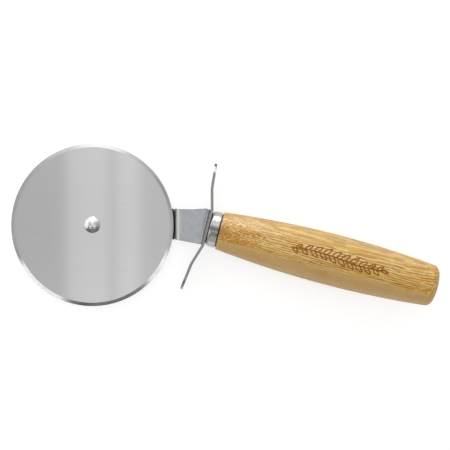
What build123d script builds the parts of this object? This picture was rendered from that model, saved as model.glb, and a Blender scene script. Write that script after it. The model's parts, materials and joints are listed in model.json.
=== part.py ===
from build123d import *
from math import asin, atan2, cos, degrees, hypot, radians, sin, tan
import os

os.makedirs("parts", exist_ok=True)

# A pizza cutter: a riveted steel wheel on a joggled neck, a finger guard and a turned bamboo handle.
# It is drawn flat first, in millimetres. The origin is on the handle's axis at the ferrule's front
# face, +X runs to the handle's free end, and +Z leaves the wheel's shown face.
# The last section tips it to the pose that it takes on a table.

# Cutting wheel
wheel_diameter = 90.0
wheel_thickness = 1.2
wheel_bevel_width = 1.9
wheel_edge_thickness = 0.15
wheel_gap = 17.85               # from the ferrule's front face forward to the wheel's rim
wheel_offset = 14.7             # from the handle's axis to the wheel's centre

# Axle rivet, with the wheel's running room
rivet_shoulder_diameter = 6.0
wheel_bore_clearance = 0.05     # all round the shoulder
wheel_end_play = 0.1            # on each side of the wheel
rivet_head_diameter = 8.9
rivet_head_rim = 0.5
rivet_head_height = 2.7
rivet_tenon_diameter = 4.0
rivet_hole_clearance = 0.05     # round the tenon, in the neck and in both washers
rivet_tail_diameter = 6.4
rivet_tail_height = 0.9

# Washers, both clamped by the rivet
spacer_diameter = 10.0
spacer_thickness = 0.9
tail_washer_diameter = 8.6
tail_washer_thickness = 0.6

# Neck arm, one bent strip of sheet
sheet_thickness = 1.5
neck_slant = 14.58              # degrees from the handle's axis to the strip's own direction
neck_end_radius = 7.5           # the round end under the rivet
neck_joggle_width = 17.2
neck_joggle_shift = 0.5         # the strip's middle lies this far from the line through the rivet
neck_deck_height = 6.0          # the deck's top above the wheel's middle plane
joggle_angle = 80.0             # degrees, steepness of the wall between the two levels
joggle_bend_radius = 1.0        # inside the bends
rim_clearance = 0.95            # from the wheel's rim to the joggle's wall
flange_width = 20.0
flange_drop = 7.2               # from the handle's axis down to the flange's lower edge
flange_corner_radius = 5.5
flange_deck_length = 15.0       # flat deck that is drawn with the flange
wide_bend_radius = 1.9          # inside the flange bend, on its +Y side
tight_bend_radius = 0.4         # inside the flange bend, on its -Y side

# Finger guard, one bent strip
guard_thickness = 1.5
guard_middle_width = 16.0
guard_tip_width = 11.0
guard_root_clearance = 0.3      # from the flange's side to the first bend
guard_root_run = 11.2           # across the handle, from the first bend to the second
guard_root_radius = 2.0
guard_knee_radius = 18.0
# The wings aren't quite alike. Each pair gives the one at -Y, then the one at +Y.
guard_tip_runs = (15.2, 14.0)   # across the handle, from the second bend to the tip
guard_root_angles = (17.6, 14.9)  # degrees forward, between the two bends
guard_tip_angles = (7.6, 5.3)   # degrees forward, from the second bend to the tip

# Ferrule, a drawn cup with a closed front
ferrule_length = 5.65
ferrule_front_diameter = 19.5
ferrule_flare = 0.7             # its open end is this much wider
ferrule_wall = 0.8
ferrule_front_radius = 2.0
ferrule_inside_bevel = 1.2      # in the closed end's corner, and on the tenon that seats there
ferrule_lip_bevel = 0.35

# Tang, one rod from the neck's flange into the handle
tang_diameter = 6.4
tang_tenon_diameter = 4.4
tang_hole_clearance = 0.05      # round the tenon, in the ferrule, the guard and the flange
tang_depth = 58.0               # from the ferrule's front face to the rod's end
tang_point = 1.2
tang_head_diameter = 6.6
tang_head_height = 1.3
tang_groove_count = 3
tang_groove_pitch = 14.0
tang_groove_width = 2.0
tang_groove_depth = 0.5

# Bamboo handle
handle_seam = 0.6               # open line between the ferrule's rim and the handle's shoulder
handle_shoulder_height = 0.35   # the wood stands this far proud of the ferrule's rim
handle_swell = 3.82             # from the shoulder's radius up to the belly's
handle_front_length = 62.19     # from the shoulder to the belly
handle_fall = 3.02              # from the belly's radius down to the end's
handle_rear_length = 62.56      # from the belly to the tip of the crowned end
handle_crown = 2.15             # height of the crowned end
handle_end_radius = 3.9
tenon_clearance = 0.05          # between the handle's tenon and the inside of the ferrule
bore_clearance = 0.1            # glue room round the tang
bore_relief = 2.0               # open depth past the tang's end

# Spare reach of a blank past the outline that trims it
overrun = 1.0

# Places that several pieces share
wheel_radius = wheel_diameter / 2
wheel_reach = wheel_radius + wheel_gap
wheel_centre = Vector(-wheel_reach, -wheel_offset, 0)
axle_line = Axis(wheel_centre, (0, 0, 1))
axle_section = Plane(origin=wheel_centre, x_dir=(1, 0, 0), z_dir=(0, -1, 0))
head_seat = wheel_thickness / 2 + wheel_end_play
neck_top = -head_seat - spacer_thickness
neck_bottom = neck_top - sheet_thickness
tail_seat = neck_bottom - tail_washer_thickness
rivet_hole_radius = rivet_tenon_diameter / 2 + rivet_hole_clearance
tang_hole_radius = tang_tenon_diameter / 2 + tang_hole_clearance
flange_face = -guard_thickness - sheet_thickness
ferrule_inside_radius = ferrule_front_diameter / 2 - ferrule_wall
ferrule_mouth_radius = (ferrule_front_diameter + ferrule_flare) / 2

# Cutting wheel: a ground disc, bevelled on both sides to a narrow edge
with BuildPart() as cutting_wheel:
    with BuildSketch(axle_section):
        with BuildLine():
            Polyline(
                (rivet_shoulder_diameter / 2 + wheel_bore_clearance, -wheel_thickness / 2),
                (wheel_radius - wheel_bevel_width, -wheel_thickness / 2),
                (wheel_radius, -wheel_edge_thickness / 2),
                (wheel_radius, wheel_edge_thickness / 2),
                (wheel_radius - wheel_bevel_width, wheel_thickness / 2),
                (rivet_shoulder_diameter / 2 + wheel_bore_clearance, wheel_thickness / 2),
                close=True,
            )
        make_face()
    revolve(axis=axle_line)

# Axle rivet: domed head, shoulder for the wheel, tenon through the neck, peened tail
rivet_top = head_seat + rivet_head_height
rivet_bottom = tail_seat - rivet_tail_height
with BuildPart() as axle_rivet:
    with BuildSketch(axle_section):
        with BuildLine():
            head_arc = TangentArc(
                (0, rivet_top),
                (rivet_head_diameter / 2, head_seat + rivet_head_rim),
                tangent=(1, 0),
            )
            tail_arc = TangentArc(
                (0, rivet_bottom), (rivet_tail_diameter / 2, tail_seat), tangent=(1, 0)
            )
            Polyline(
                head_arc @ 1,
                (rivet_head_diameter / 2, head_seat),
                (rivet_shoulder_diameter / 2, head_seat),
                (rivet_shoulder_diameter / 2, -head_seat),
                (rivet_tenon_diameter / 2, -head_seat),
                (rivet_tenon_diameter / 2, tail_seat),
                tail_arc @ 1,
            )
            Line(tail_arc @ 0, head_arc @ 0)
        make_face()
    revolve(axis=axle_line)

# Spacer washer, between the wheel and the neck
with BuildPart() as spacer_washer:
    with BuildSketch(Plane(wheel_centre).offset(neck_top)):
        Circle(spacer_diameter / 2)
        Circle(rivet_hole_radius, mode=Mode.SUBTRACT)
    extrude(amount=spacer_thickness)

# Tail washer, under the neck
with BuildPart() as tail_washer:
    with BuildSketch(Plane(wheel_centre).offset(tail_seat)):
        Circle(tail_washer_diameter / 2)
        Circle(rivet_hole_radius, mode=Mode.SUBTRACT)
    extrude(amount=tail_washer_thickness)

# Neck arm, first the joggled strip, drawn from the side along its own direction
along_neck = Vector(cos(radians(neck_slant)), sin(radians(neck_slant)), 0)
neck_plan = Plane(origin=wheel_centre, x_dir=along_neck, z_dir=(0, 0, 1))
neck_side = Plane(origin=wheel_centre, x_dir=along_neck, z_dir=along_neck.cross(Vector(0, 0, 1)))
low_level = (neck_top + neck_bottom) / 2
deck_level = neck_deck_height - sheet_thickness / 2
wall_middle = (
    wheel_radius + rim_clearance + sheet_thickness / 2 / sin(radians(joggle_angle))
)
wall_foot = wall_middle + low_level / tan(radians(joggle_angle))
wall_head = wall_middle + deck_level / tan(radians(joggle_angle))
with BuildPart() as neck_strip:
    with BuildSketch(neck_side):
        with BuildLine():
            FilletPolyline(
                (-neck_end_radius - overrun, low_level),
                (wall_foot, low_level),
                (wall_head, deck_level),
                ((wheel_reach - flange_deck_length / 2) / cos(radians(neck_slant)), deck_level),
                radius=joggle_bend_radius + sheet_thickness / 2,
            )
        trace(line_width=sheet_thickness)
    extrude(amount=flange_width, both=True)

# Then the flange, whose bend opens out from a tight one at -Y to a wide one at +Y
flange_side = flange_width / 2 + overrun
with BuildPart() as neck_flange:
    for side, bend in ((flange_side, wide_bend_radius), (-flange_side, tight_bend_radius)):
        with BuildSketch(Plane.XZ.offset(-side)):
            with BuildLine():
                FilletPolyline(
                    (-flange_deck_length, deck_level),
                    (flange_face + sheet_thickness / 2, deck_level),
                    (flange_face + sheet_thickness / 2, -flange_drop),
                    radius=bend + sheet_thickness / 2,
                )
            trace(line_width=sheet_thickness)
    loft(ruled=True)

# Both are joined and trimmed to the neck's outline, seen from above
neck_corners = [
    neck_plan.from_local_coords(Vector(along, across, 0))
    for along, across in (
        (0, -neck_end_radius),
        (wall_foot, neck_joggle_shift - neck_joggle_width / 2),
        (wall_foot, neck_joggle_shift + neck_joggle_width / 2),
        (0, neck_end_radius),
    )
]
with BuildPart() as neck_arm:
    add(neck_strip.part)
    add(neck_flange.part)
    with BuildSketch(Plane.XY.offset(-flange_drop - overrun)):
        with Locations((-wheel_reach, -wheel_offset)):
            Circle(neck_end_radius)
        with BuildLine():
            Polyline(
                neck_corners[0],
                neck_corners[1],
                (flange_face, -flange_width / 2),
                (0, -flange_width / 2),
                (0, flange_width / 2),
                (flange_face, flange_width / 2),
                neck_corners[2],
                neck_corners[3],
                close=True,
            )
        make_face()
    extrude(amount=flange_drop + neck_deck_height + 2 * overrun, mode=Mode.INTERSECT)
    flange_corners = edges().group_by(Axis.Z)[0].sort_by(SortBy.LENGTH)[:2]
    fillet(flange_corners, radius=flange_corner_radius)
    with Locations(Plane(wheel_centre).offset(neck_top)):
        Hole(rivet_hole_radius, depth=sheet_thickness)
    with Locations(Plane(origin=(flange_face, 0, 0), z_dir=(-1, 0, 0))):
        Hole(tang_hole_radius, depth=sheet_thickness)

# Finger guard: a strip bent forward at two places on each side, with round tips
guard_middle = -guard_thickness / 2
guard_root = flange_width / 2 + guard_root_clearance
guard_knee = guard_root + guard_root_run
wings = []
for side, tip_run, root_angle, tip_angle in zip(
    (-1, 1), guard_tip_runs, guard_root_angles, guard_tip_angles
):
    knee_forward = guard_middle - guard_root_run * tan(radians(root_angle))
    tip_forward = knee_forward - tip_run * tan(radians(tip_angle))
    wings.append(
        [
            (tip_forward, side * (guard_knee + tip_run)),
            (knee_forward, side * guard_knee),
            (guard_middle, side * guard_root),
        ]
    )
with BuildPart() as finger_guard:
    with BuildSketch(Plane.XY):
        with BuildLine():
            FilletPolyline(
                wings[0] + wings[1][::-1],
                radius=(guard_knee_radius, guard_root_radius, guard_root_radius, guard_knee_radius),
            )
        trace(line_width=guard_thickness)
    extrude(amount=guard_middle_width, both=True)
    with BuildSketch(Plane.YZ.offset(-guard_knee)):
        Circle(guard_middle_width / 2)
        with Locations(
            (guard_tip_width / 2 - guard_knee - guard_tip_runs[0], 0),
            (guard_knee + guard_tip_runs[1] - guard_tip_width / 2, 0),
        ):
            Circle(guard_tip_width / 2)
        make_hull()
    extrude(amount=2 * guard_knee, mode=Mode.INTERSECT)
    with Locations(Plane(origin=(-guard_thickness, 0, 0), z_dir=(-1, 0, 0))):
        Hole(tang_hole_radius, depth=guard_thickness)

# Ferrule: a drawn cup, its front round-cornered and closed but for the tang's hole
with BuildPart() as ferrule:
    with BuildSketch(Plane.XZ):
        with BuildLine():
            Polyline(
                (0, tang_hole_radius),
                (0, ferrule_front_diameter / 2),
                (ferrule_length - ferrule_lip_bevel, ferrule_mouth_radius),
                (ferrule_length, ferrule_mouth_radius - ferrule_lip_bevel),
                (ferrule_length, ferrule_mouth_radius - ferrule_wall),
                (ferrule_wall + ferrule_inside_bevel, ferrule_inside_radius),
                (ferrule_wall, ferrule_inside_radius - ferrule_inside_bevel),
                (ferrule_wall, tang_hole_radius),
                close=True,
            )
        make_face()
        front_corner = vertices().sort_by_distance((0, ferrule_front_diameter / 2))[0]
        fillet(front_corner, radius=ferrule_front_radius)
    revolve(axis=Axis.X)

# Tang: a grooved rod, its tenon riveted over on the neck's flange
with BuildPart() as handle_tang:
    with BuildSketch(Plane.XZ):
        with BuildLine():
            head = TangentArc(
                (flange_face - tang_head_height, 0),
                (flange_face, tang_head_diameter / 2),
                tangent=(0, 1),
            )
            Polyline(
                head @ 1,
                (flange_face, tang_tenon_diameter / 2),
                (ferrule_wall, tang_tenon_diameter / 2),
                (ferrule_wall, tang_diameter / 2),
                (tang_depth - tang_point, tang_diameter / 2),
                (tang_depth, tang_diameter / 2 - tang_point),
                (tang_depth, 0),
                head @ 0,
            )
        make_face()
        for groove in range(tang_groove_count):
            groove_place = tang_depth - tang_groove_pitch * (groove + 1)
            with Locations((groove_place, tang_diameter / 2)):
                Rectangle(tang_groove_width, 2 * tang_groove_depth, mode=Mode.SUBTRACT)
    revolve(axis=Axis.X)

# Bamboo handle: a turned barrel with a tenon for the ferrule and a blind bore for the tang
handle_shoulder = ferrule_length + handle_seam
handle_belly = handle_shoulder + handle_front_length
handle_end = handle_belly + handle_rear_length
shoulder_radius = ferrule_mouth_radius + handle_shoulder_height
belly_radius = shoulder_radius + handle_swell
tenon_front = ferrule_wall + tenon_clearance
tenon_front_radius = ferrule_inside_radius - tenon_clearance
tenon_rear_radius = ferrule_mouth_radius - ferrule_wall - tenon_clearance
with BuildPart() as bamboo_handle:
    with BuildSketch(Plane.XZ):
        with BuildLine():
            side_arc = ThreePointArc(
                (handle_shoulder, shoulder_radius),
                (handle_belly, belly_radius),
                (handle_end - handle_crown, belly_radius - handle_fall),
            )
            crown_arc = TangentArc((handle_end, 0), side_arc @ 1, tangent=(0, 1))
            Polyline(
                side_arc @ 0,
                (handle_shoulder, tenon_rear_radius),
                (ferrule_length, tenon_rear_radius),
                (tenon_front + ferrule_inside_bevel, tenon_front_radius),
                (tenon_front, tenon_front_radius - ferrule_inside_bevel),
                (tenon_front, 0),
                crown_arc @ 0,
            )
        make_face()
        end_corner = vertices().sort_by_distance(side_arc @ 1)[0]
        fillet(end_corner, radius=handle_end_radius)
    revolve(axis=Axis.X)
    with Locations(Plane(origin=(tenon_front, 0, 0), z_dir=(-1, 0, 0))):
        Hole(tang_diameter / 2 + bore_clearance, depth=tang_depth + bore_relief - tenon_front)

# At rest the cutter lies on the round tail of the rivet and on the underside of the handle's front.
# The table is the steepest line that touches the tail and passes under a point of the handle.
tail_radius = (rivet_tail_diameter**2 / 4 + rivet_tail_height**2) / (2 * rivet_tail_height)
underside_steps = 200
rest_tilt = 0
for step in range(underside_steps + 1):
    underside = side_arc @ (step / underside_steps)
    run = underside.X + wheel_reach
    drop = underside.Y + rivet_bottom + tail_radius
    rest_tilt = max(rest_tilt, degrees(atan2(drop, run) - asin(tail_radius / hypot(run, drop))))
pieces = [
    cutting_wheel.part,
    axle_rivet.part,
    spacer_washer.part,
    tail_washer.part,
    neck_arm.part,
    finger_guard.part,
    ferrule.part,
    handle_tang.part,
    bamboo_handle.part,
]
for piece in pieces:
    piece.move(Location((0, 0, 0), (0, -rest_tilt, 0)))
room = Compound(pieces).bounding_box()
for piece in pieces:
    piece.move(Location((-room.center().X, -room.center().Y, -room.min.Z)))

cutting_wheel.part.label = "cutting_wheel"
export_step(cutting_wheel.part, "parts/cutting_wheel.step")
axle_rivet.part.label = "axle_rivet"
export_step(axle_rivet.part, "parts/axle_rivet.step")
spacer_washer.part.label = "spacer_washer"
export_step(spacer_washer.part, "parts/spacer_washer.step")
tail_washer.part.label = "tail_washer"
export_step(tail_washer.part, "parts/tail_washer.step")
neck_arm.part.label = "neck_arm"
export_step(neck_arm.part, "parts/neck_arm.step")
finger_guard.part.label = "finger_guard"
export_step(finger_guard.part, "parts/finger_guard.step")
ferrule.part.label = "ferrule"
export_step(ferrule.part, "parts/ferrule.step")
handle_tang.part.label = "handle_tang"
export_step(handle_tang.part, "parts/handle_tang.step")
bamboo_handle.part.label = "bamboo_handle"
export_step(bamboo_handle.part, "parts/bamboo_handle.step")

wheel_place = cutting_wheel.part.center()
print(f"rest tilt {rest_tilt:.5f} degrees")
print(f"wheel centre {wheel_place.X:.4f}, {wheel_place.Y:.4f}, {wheel_place.Z:.4f} mm")
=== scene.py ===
"""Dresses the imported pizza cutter: ground wheel, domed rivet, matt neck, satin guard, bamboo handle.

Pieces are shaped in the cutter's own frame, in millimetres, and set down in the row frame in
metres. In the cutter's frame the origin is on the handle's axis at the ferrule's front face, x runs
to the handle's free end and z leaves the wheel's shown face.
"""

from __future__ import annotations

import json
import logging
from collections.abc import Iterable
from dataclasses import dataclass, field
from enum import Enum
from math import atan2, ceil, cos, hypot, pi, radians, sin, sqrt, tan
from typing import Any

import bmesh
import bpy
from mathutils import Matrix, Vector
from mathutils.kdtree import KDTree

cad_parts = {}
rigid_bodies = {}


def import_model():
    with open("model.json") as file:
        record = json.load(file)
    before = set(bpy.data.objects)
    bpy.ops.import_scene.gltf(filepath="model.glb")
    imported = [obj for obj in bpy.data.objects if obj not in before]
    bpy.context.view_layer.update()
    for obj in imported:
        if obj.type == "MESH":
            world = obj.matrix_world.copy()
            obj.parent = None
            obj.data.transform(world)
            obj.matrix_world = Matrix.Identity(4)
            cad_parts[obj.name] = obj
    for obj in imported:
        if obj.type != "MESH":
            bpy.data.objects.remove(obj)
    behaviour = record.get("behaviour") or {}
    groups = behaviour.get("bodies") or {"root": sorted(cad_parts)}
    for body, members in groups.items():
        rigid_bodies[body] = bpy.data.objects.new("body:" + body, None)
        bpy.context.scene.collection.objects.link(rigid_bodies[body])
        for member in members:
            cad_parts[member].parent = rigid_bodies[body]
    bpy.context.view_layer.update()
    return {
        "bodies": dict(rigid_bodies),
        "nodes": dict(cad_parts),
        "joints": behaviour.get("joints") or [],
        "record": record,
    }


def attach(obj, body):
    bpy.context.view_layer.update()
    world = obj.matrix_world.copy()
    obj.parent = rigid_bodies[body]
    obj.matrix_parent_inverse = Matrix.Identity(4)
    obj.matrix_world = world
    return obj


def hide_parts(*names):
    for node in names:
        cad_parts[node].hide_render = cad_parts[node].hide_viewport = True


log = logging.getLogger("pizza_cutter")

Pair = tuple[float, float]
Point = Pair
Triple = tuple[float, float, float]
Rise = tuple[float, float, float, float]  # start, stop, low and high, as NodeSketch.ramp takes them
Mark = tuple[float, float, float, float]  # a marked place and its strength
Rule = tuple[Vector, Vector]
Piece = bpy.types.Object
Material = bpy.types.Material
Tree = bpy.types.NodeTree
Node = bpy.types.Node
Socket = bpy.types.NodeSocket

MM = 0.001
SHARP_ANGLE = radians(32)  # edges over this look sharp
EASED_ANGLE = radians(50)  # a sheet's edges over this are rounded
CUT_COSINE = 0.8  # below this cosine to the sheet's normal, a face belongs to the cut edge
SEAM_GAP = 1e-4  # in millimetres
WELD_LENGTH = 1e-7  # in metres
LEAST_SQUARE = 1e-6  # keeps a square root's input positive
NOISE_RANGE = (0.35, 0.65)  # most of a Noise texture lies between these
WIDE_RANGE = (0.3, 0.7)  # nearly all of it lies between these
CORE_RANGE = (0.38, 0.62)  # the larger part of it lies between these
GRITTY = 0.6  # roughness of a Noise texture with strong fine layers
NECK_SLANT = radians(14.58)  # the neck, the wheel's brushing and the picture's level, to the handle's axis
WHEEL_CENTRE = (-62.85, -14.7, 0.0)  # in the cutter's frame


# The cutter's frame and plain shapes


@dataclass(frozen=True)
class ToolFrame:
    """The cutter's own frame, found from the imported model."""

    matrix: Matrix  # takes a point from the cutter's millimetres to the row frame's metres

    @classmethod
    def from_frame(cls, frame: dict[str, Any]) -> ToolFrame:
        """Works the frame out from the wheel's joint, the grip's mount and the ferrule.


        Returns:
            The cutter's frame.
        """
        z_axis = Vector(frame["joints"][0]["axis"]).normalized()
        grip = next(m for m in frame["record"]["mounts"] if m["name"] == "handle_grip")
        x_axis = Vector(grip["axis"]).normalized()
        y_axis = z_axis.cross(x_axis)
        place = Vector(grip["pos_m"])
        front = min(x_axis.dot(v.co) for v in frame["nodes"]["ferrule"].data.vertices)
        origin = place + x_axis * (front - x_axis.dot(place))
        turn = Matrix((x_axis, y_axis, z_axis)).transposed().to_4x4()
        return cls(Matrix.Translation(origin) @ turn @ Matrix.Scale(MM, 4))

    def extent(self, node: Piece) -> tuple[Vector, Vector]:
        """Measures a CAD node in the cutter's frame.

        Args:
            node: The node's object.

        Returns:
            Its lowest and highest corner, in millimetres.
        """
        back = self.matrix.inverted()
        points = [back @ v.co for v in node.data.vertices]
        low = Vector(min(p[i] for p in points) for i in range(3))
        high = Vector(max(p[i] for p in points) for i in range(3))
        return low, high

    def point(self, x: float, y: float, z: float) -> Vector:
        """Returns the row frame's place of a point given in the cutter's millimetres."""
        return self.matrix @ Vector((x, y, z))

    def direction(self, x: float, y: float, z: float) -> Vector:
        """Returns a unit vector of the row frame from one given in the cutter's frame."""
        return (self.matrix.to_3x3() @ Vector((x, y, z))).normalized()

    def picture_axes(self, lean: float = 0.0) -> tuple[Vector, Vector, Vector]:
        """Gives the picture's directions, which follow the neck.

        Args:
            lean: Further turn in the picture.

        Returns:
            The picture's right, its up and the way to the camera, as unit vectors of the row frame.
        """
        angle = NECK_SLANT + lean
        right = self.direction(cos(angle), sin(angle), 0.0)
        up = self.direction(-sin(angle), cos(angle), 0.0)
        return right, up, self.direction(0.0, 0.0, 1.0)


def fillet_line(points: list[Point], radii: list[float], steps: int = 6) -> list[Point]:
    """Rounds the corners of an open line.

    Args:
        points: The line's corners, its two ends included.
        radii: One radius for each point. A zero leaves its corner sharp.
        steps: Number of short runs that stand for each arc.

    Returns:
        The rounded line's points.
    """
    line = [points[0]]
    for before, corner, after, radius in zip(points, points[1:], points[2:], radii[1:]):
        back = Vector(before) - Vector(corner)
        ahead = Vector(after) - Vector(corner)
        if radius <= 0:
            line.append(corner)
            continue
        half = back.angle(ahead) / 2
        back.normalize()
        ahead.normalize()
        reach = radius / tan(half)
        centre = Vector(corner) + (back + ahead).normalized() * (radius / sin(half))
        start = Vector(corner) + back * reach - centre
        stop = Vector(corner) + ahead * reach - centre
        first = atan2(start.y, start.x)
        sweep = (atan2(stop.y, stop.x) - first + pi) % (2 * pi) - pi
        for step in range(steps + 1):
            angle = first + sweep * step / steps
            line.append((centre.x + radius * cos(angle), centre.y + radius * sin(angle)))
    line.append(points[-1])
    return line


def circle_through(a: Point, b: Point, c: Point) -> Triple:
    """Returns the centre and the radius of the circle through three points.

    Args:
        a: First point.
        b: Second point.
        c: Third point.

    Returns:
        The centre's x and y, and the radius.
    """
    d = 2 * (a[0] * (b[1] - c[1]) + b[0] * (c[1] - a[1]) + c[0] * (a[1] - b[1]))
    squares = [p[0] ** 2 + p[1] ** 2 for p in (a, b, c)]
    x = (squares[0] * (b[1] - c[1]) + squares[1] * (c[1] - a[1]) + squares[2] * (a[1] - b[1])) / d
    y = (squares[0] * (c[0] - b[0]) + squares[1] * (a[0] - c[0]) + squares[2] * (b[0] - a[0])) / d
    return x, y, hypot(a[0] - x, a[1] - y)


def arc_through(a: Point, b: Point, c: Point, steps: int) -> list[Point]:
    """Draws the arc that starts at a, passes through b and ends at c.

    Args:
        a: First point.
        b: A point on the way.
        c: Last point.
        steps: Number of short runs along the arc.

    Returns:
        The arc's points, both ends included.
    """
    x, y, radius = circle_through(a, b, c)
    first = atan2(a[1] - y, a[0] - x)
    sweep = (atan2(c[1] - y, c[0] - x) - first + pi) % (2 * pi) - pi
    angles = [first + sweep * step / steps for step in range(steps + 1)]
    return [(x + radius * cos(angle), y + radius * sin(angle)) for angle in angles]


def dome(axis_end: float, rim: Point, steps: int = 18) -> list[Point]:
    """Returns the points of a round cap, from where it crosses the axis out to its rim."""
    return arc_through((rim[0], -rim[1]), (axis_end, 0.0), rim, 2 * steps)[steps:]


# Node trees


def opaque(colour: Triple) -> tuple[float, ...]:
    """Returns a colour with full alpha, as a colour socket takes it."""
    return (*colour, 1.0)


def grey(level: float) -> tuple[float, ...]:
    """Returns an opaque grey."""
    return opaque((level, level, level))


class NodeSketch:
    """Adds and links the nodes of one tree."""

    def __init__(self, tree: Tree) -> None:
        """Keeps the tree that the nodes go to."""
        self.tree = tree

    def add(self, kind: str, inputs: dict[Any, Any] | None = None, **settings: Any) -> Node:
        """Adds one node.

        Args:
            kind: The node's type name.
            inputs: Values or output sockets, by the input's name or number.
            settings: The node's own properties.

        Returns:
            The new node.
        """
        node = self.tree.nodes.new(kind)
        for name, value in settings.items():
            setattr(node, name, value)
        self.fill(node, inputs or {})
        return node

    def fill(self, node: Node, inputs: dict[Any, Any]) -> None:
        """Sets some of a node's inputs.

        Args:
            node: The node.
            inputs: Values or output sockets, by the input's name or number.
        """
        for key, value in inputs.items():
            if isinstance(value, Socket):
                self.tree.links.new(value, node.inputs[key])
            else:
                node.inputs[key].default_value = value

    def math(self, operation: str, a: Any, b: Any = 0.0, c: Any = 0.0) -> Socket:
        """Returns the result of a Math node on up to three values or sockets."""
        return self.add("ShaderNodeMath", {0: a, 1: b, 2: c}, operation=operation).outputs[0]

    def weighted(self, *terms: tuple[Any, float]) -> Socket:
        """Adds up some values.

        Args:
            terms: Each value and its weight.

        Returns:
            The sum of the values, each times its weight.
        """
        total: Any = 0.0
        for value, weight in terms:
            total = self.math("ADD", total, self.math("MULTIPLY", value, weight))
        return total

    def leg(self, long: Any, short: Any) -> Socket:
        """Returns the third side of a right-angled triangle, from its longest and one short side."""
        square = self.math("SUBTRACT", self.math("MULTIPLY", long, long), self.math("MULTIPLY", short, short))
        return self.math("SQRT", square)

    def split(self, vector: Any) -> Any:
        """Returns the x, y and z sockets of a vector."""
        return self.add("ShaderNodeSeparateXYZ", {0: vector}).outputs

    def join(self, x: Any, y: Any = 0.0, z: Any = 0.0) -> Socket:
        """Returns the vector with the given x, y and z."""
        return self.add("ShaderNodeCombineXYZ", {0: x, 1: y, 2: z}).outputs[0]

    def scaled(self, vector: Any, scale: Any) -> Socket:
        """Returns the vector times a number."""
        return self.add("ShaderNodeVectorMath", {0: vector, "Scale": scale}, operation="SCALE").outputs[0]

    def measured(self, operation: str, a: Any, b: Any = (0.0, 0.0, 0.0)) -> Socket:
        """Returns the number that a Vector Math node makes of one or two vectors."""
        return self.add("ShaderNodeVectorMath", {0: a, 1: b}, operation=operation).outputs["Value"]

    def vector(self, operation: str, a: Any, b: Any) -> Socket:
        """Returns the vector result of a Vector Math node on two values or sockets."""
        return self.add("ShaderNodeVectorMath", {0: a, 1: b}, operation=operation).outputs[0]

    def ramp(self, value: Any, start: float, stop: float, low: float = 0.0, high: float = 1.0) -> Socket:
        """Returns a value eased from low to high while the input goes from start to stop.

        Args:
            value: The input.
            start: Where the easing begins.
            stop: Where it ends.
            low: The result up to start.
            high: The result from stop on.

        Returns:
            The eased value.
        """
        node = self.add(
            "ShaderNodeMapRange",
            {"Value": value, "From Min": start, "From Max": stop, "To Min": low, "To Max": high},
            interpolation_type="SMOOTHSTEP",
        )
        return node.outputs["Result"]

    def blend(self, factor: Any, a: Any, b: Any) -> Socket:
        """Returns a mixture of two colours, in which the factor is the share of the second."""
        # The colours are a Mix node's inputs 6 and 7, and their mixture is its output 2.
        inputs = {0: factor, 6: a, 7: b}
        return self.add("ShaderNodeMix", inputs, data_type="RGBA", clamp_factor=True).outputs[2]

    def noise(self, vector: Any, scale: float, detail: float = 2.0, roughness: float = 0.5) -> Node:
        """Adds a Noise texture, with a number of finer layers and their strength."""
        inputs = {"Vector": vector, "Scale": scale, "Detail": detail, "Roughness": roughness}
        return self.add("ShaderNodeTexNoise", inputs)

    def stretched(self, vector: Any, size: Triple) -> Socket:
        """Returns the vector measured in units of the given size along each axis."""
        return self.vector("MULTIPLY", vector, tuple(1 / length for length in size))

    def spots(self, vector: Any, size: Triple, detail: float = 3.0, roughness: float = 0.5) -> Socket:
        """Returns the value of a Noise texture whose spots have the given size along each axis."""
        return self.noise(self.stretched(vector, size), 1.0, detail, roughness).outputs["Fac"]

    def bump(self, height: Socket, distance: float) -> Socket:
        """Returns the normal of a surface with a relief, whose height is given in metres."""
        inputs = {"Strength": 1.0, "Distance": distance, "Height": height}
        return self.add("ShaderNodeBump", inputs).outputs[0]


TreeParts = tuple[Tree, NodeSketch, Node, Node]


def socket_group(
    name: str, kind: str, inputs: list[tuple[str, str, Any]], outputs: list[tuple[str, str]]
) -> TreeParts:
    """Makes an empty node tree with named inputs and outputs.

    Args:
        name: The tree's name.
        kind: ShaderNodeTree or GeometryNodeTree.
        inputs: Name, socket type and first value of each input. None leaves the value alone.
        outputs: Name and socket type of each output.

    Returns:
        The tree, its sketch, its input node and its output node.
    """
    tree = bpy.data.node_groups.new(name, kind)
    for label, socket_type, value in inputs:
        socket = tree.interface.new_socket(name=label, in_out="INPUT", socket_type=socket_type)
        if value is not None:
            socket.default_value = value
    for label, socket_type in outputs:
        tree.interface.new_socket(name=label, in_out="OUTPUT", socket_type=socket_type)
    sketch = NodeSketch(tree)
    return tree, sketch, sketch.add("NodeGroupInput"), sketch.add("NodeGroupOutput")


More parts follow.
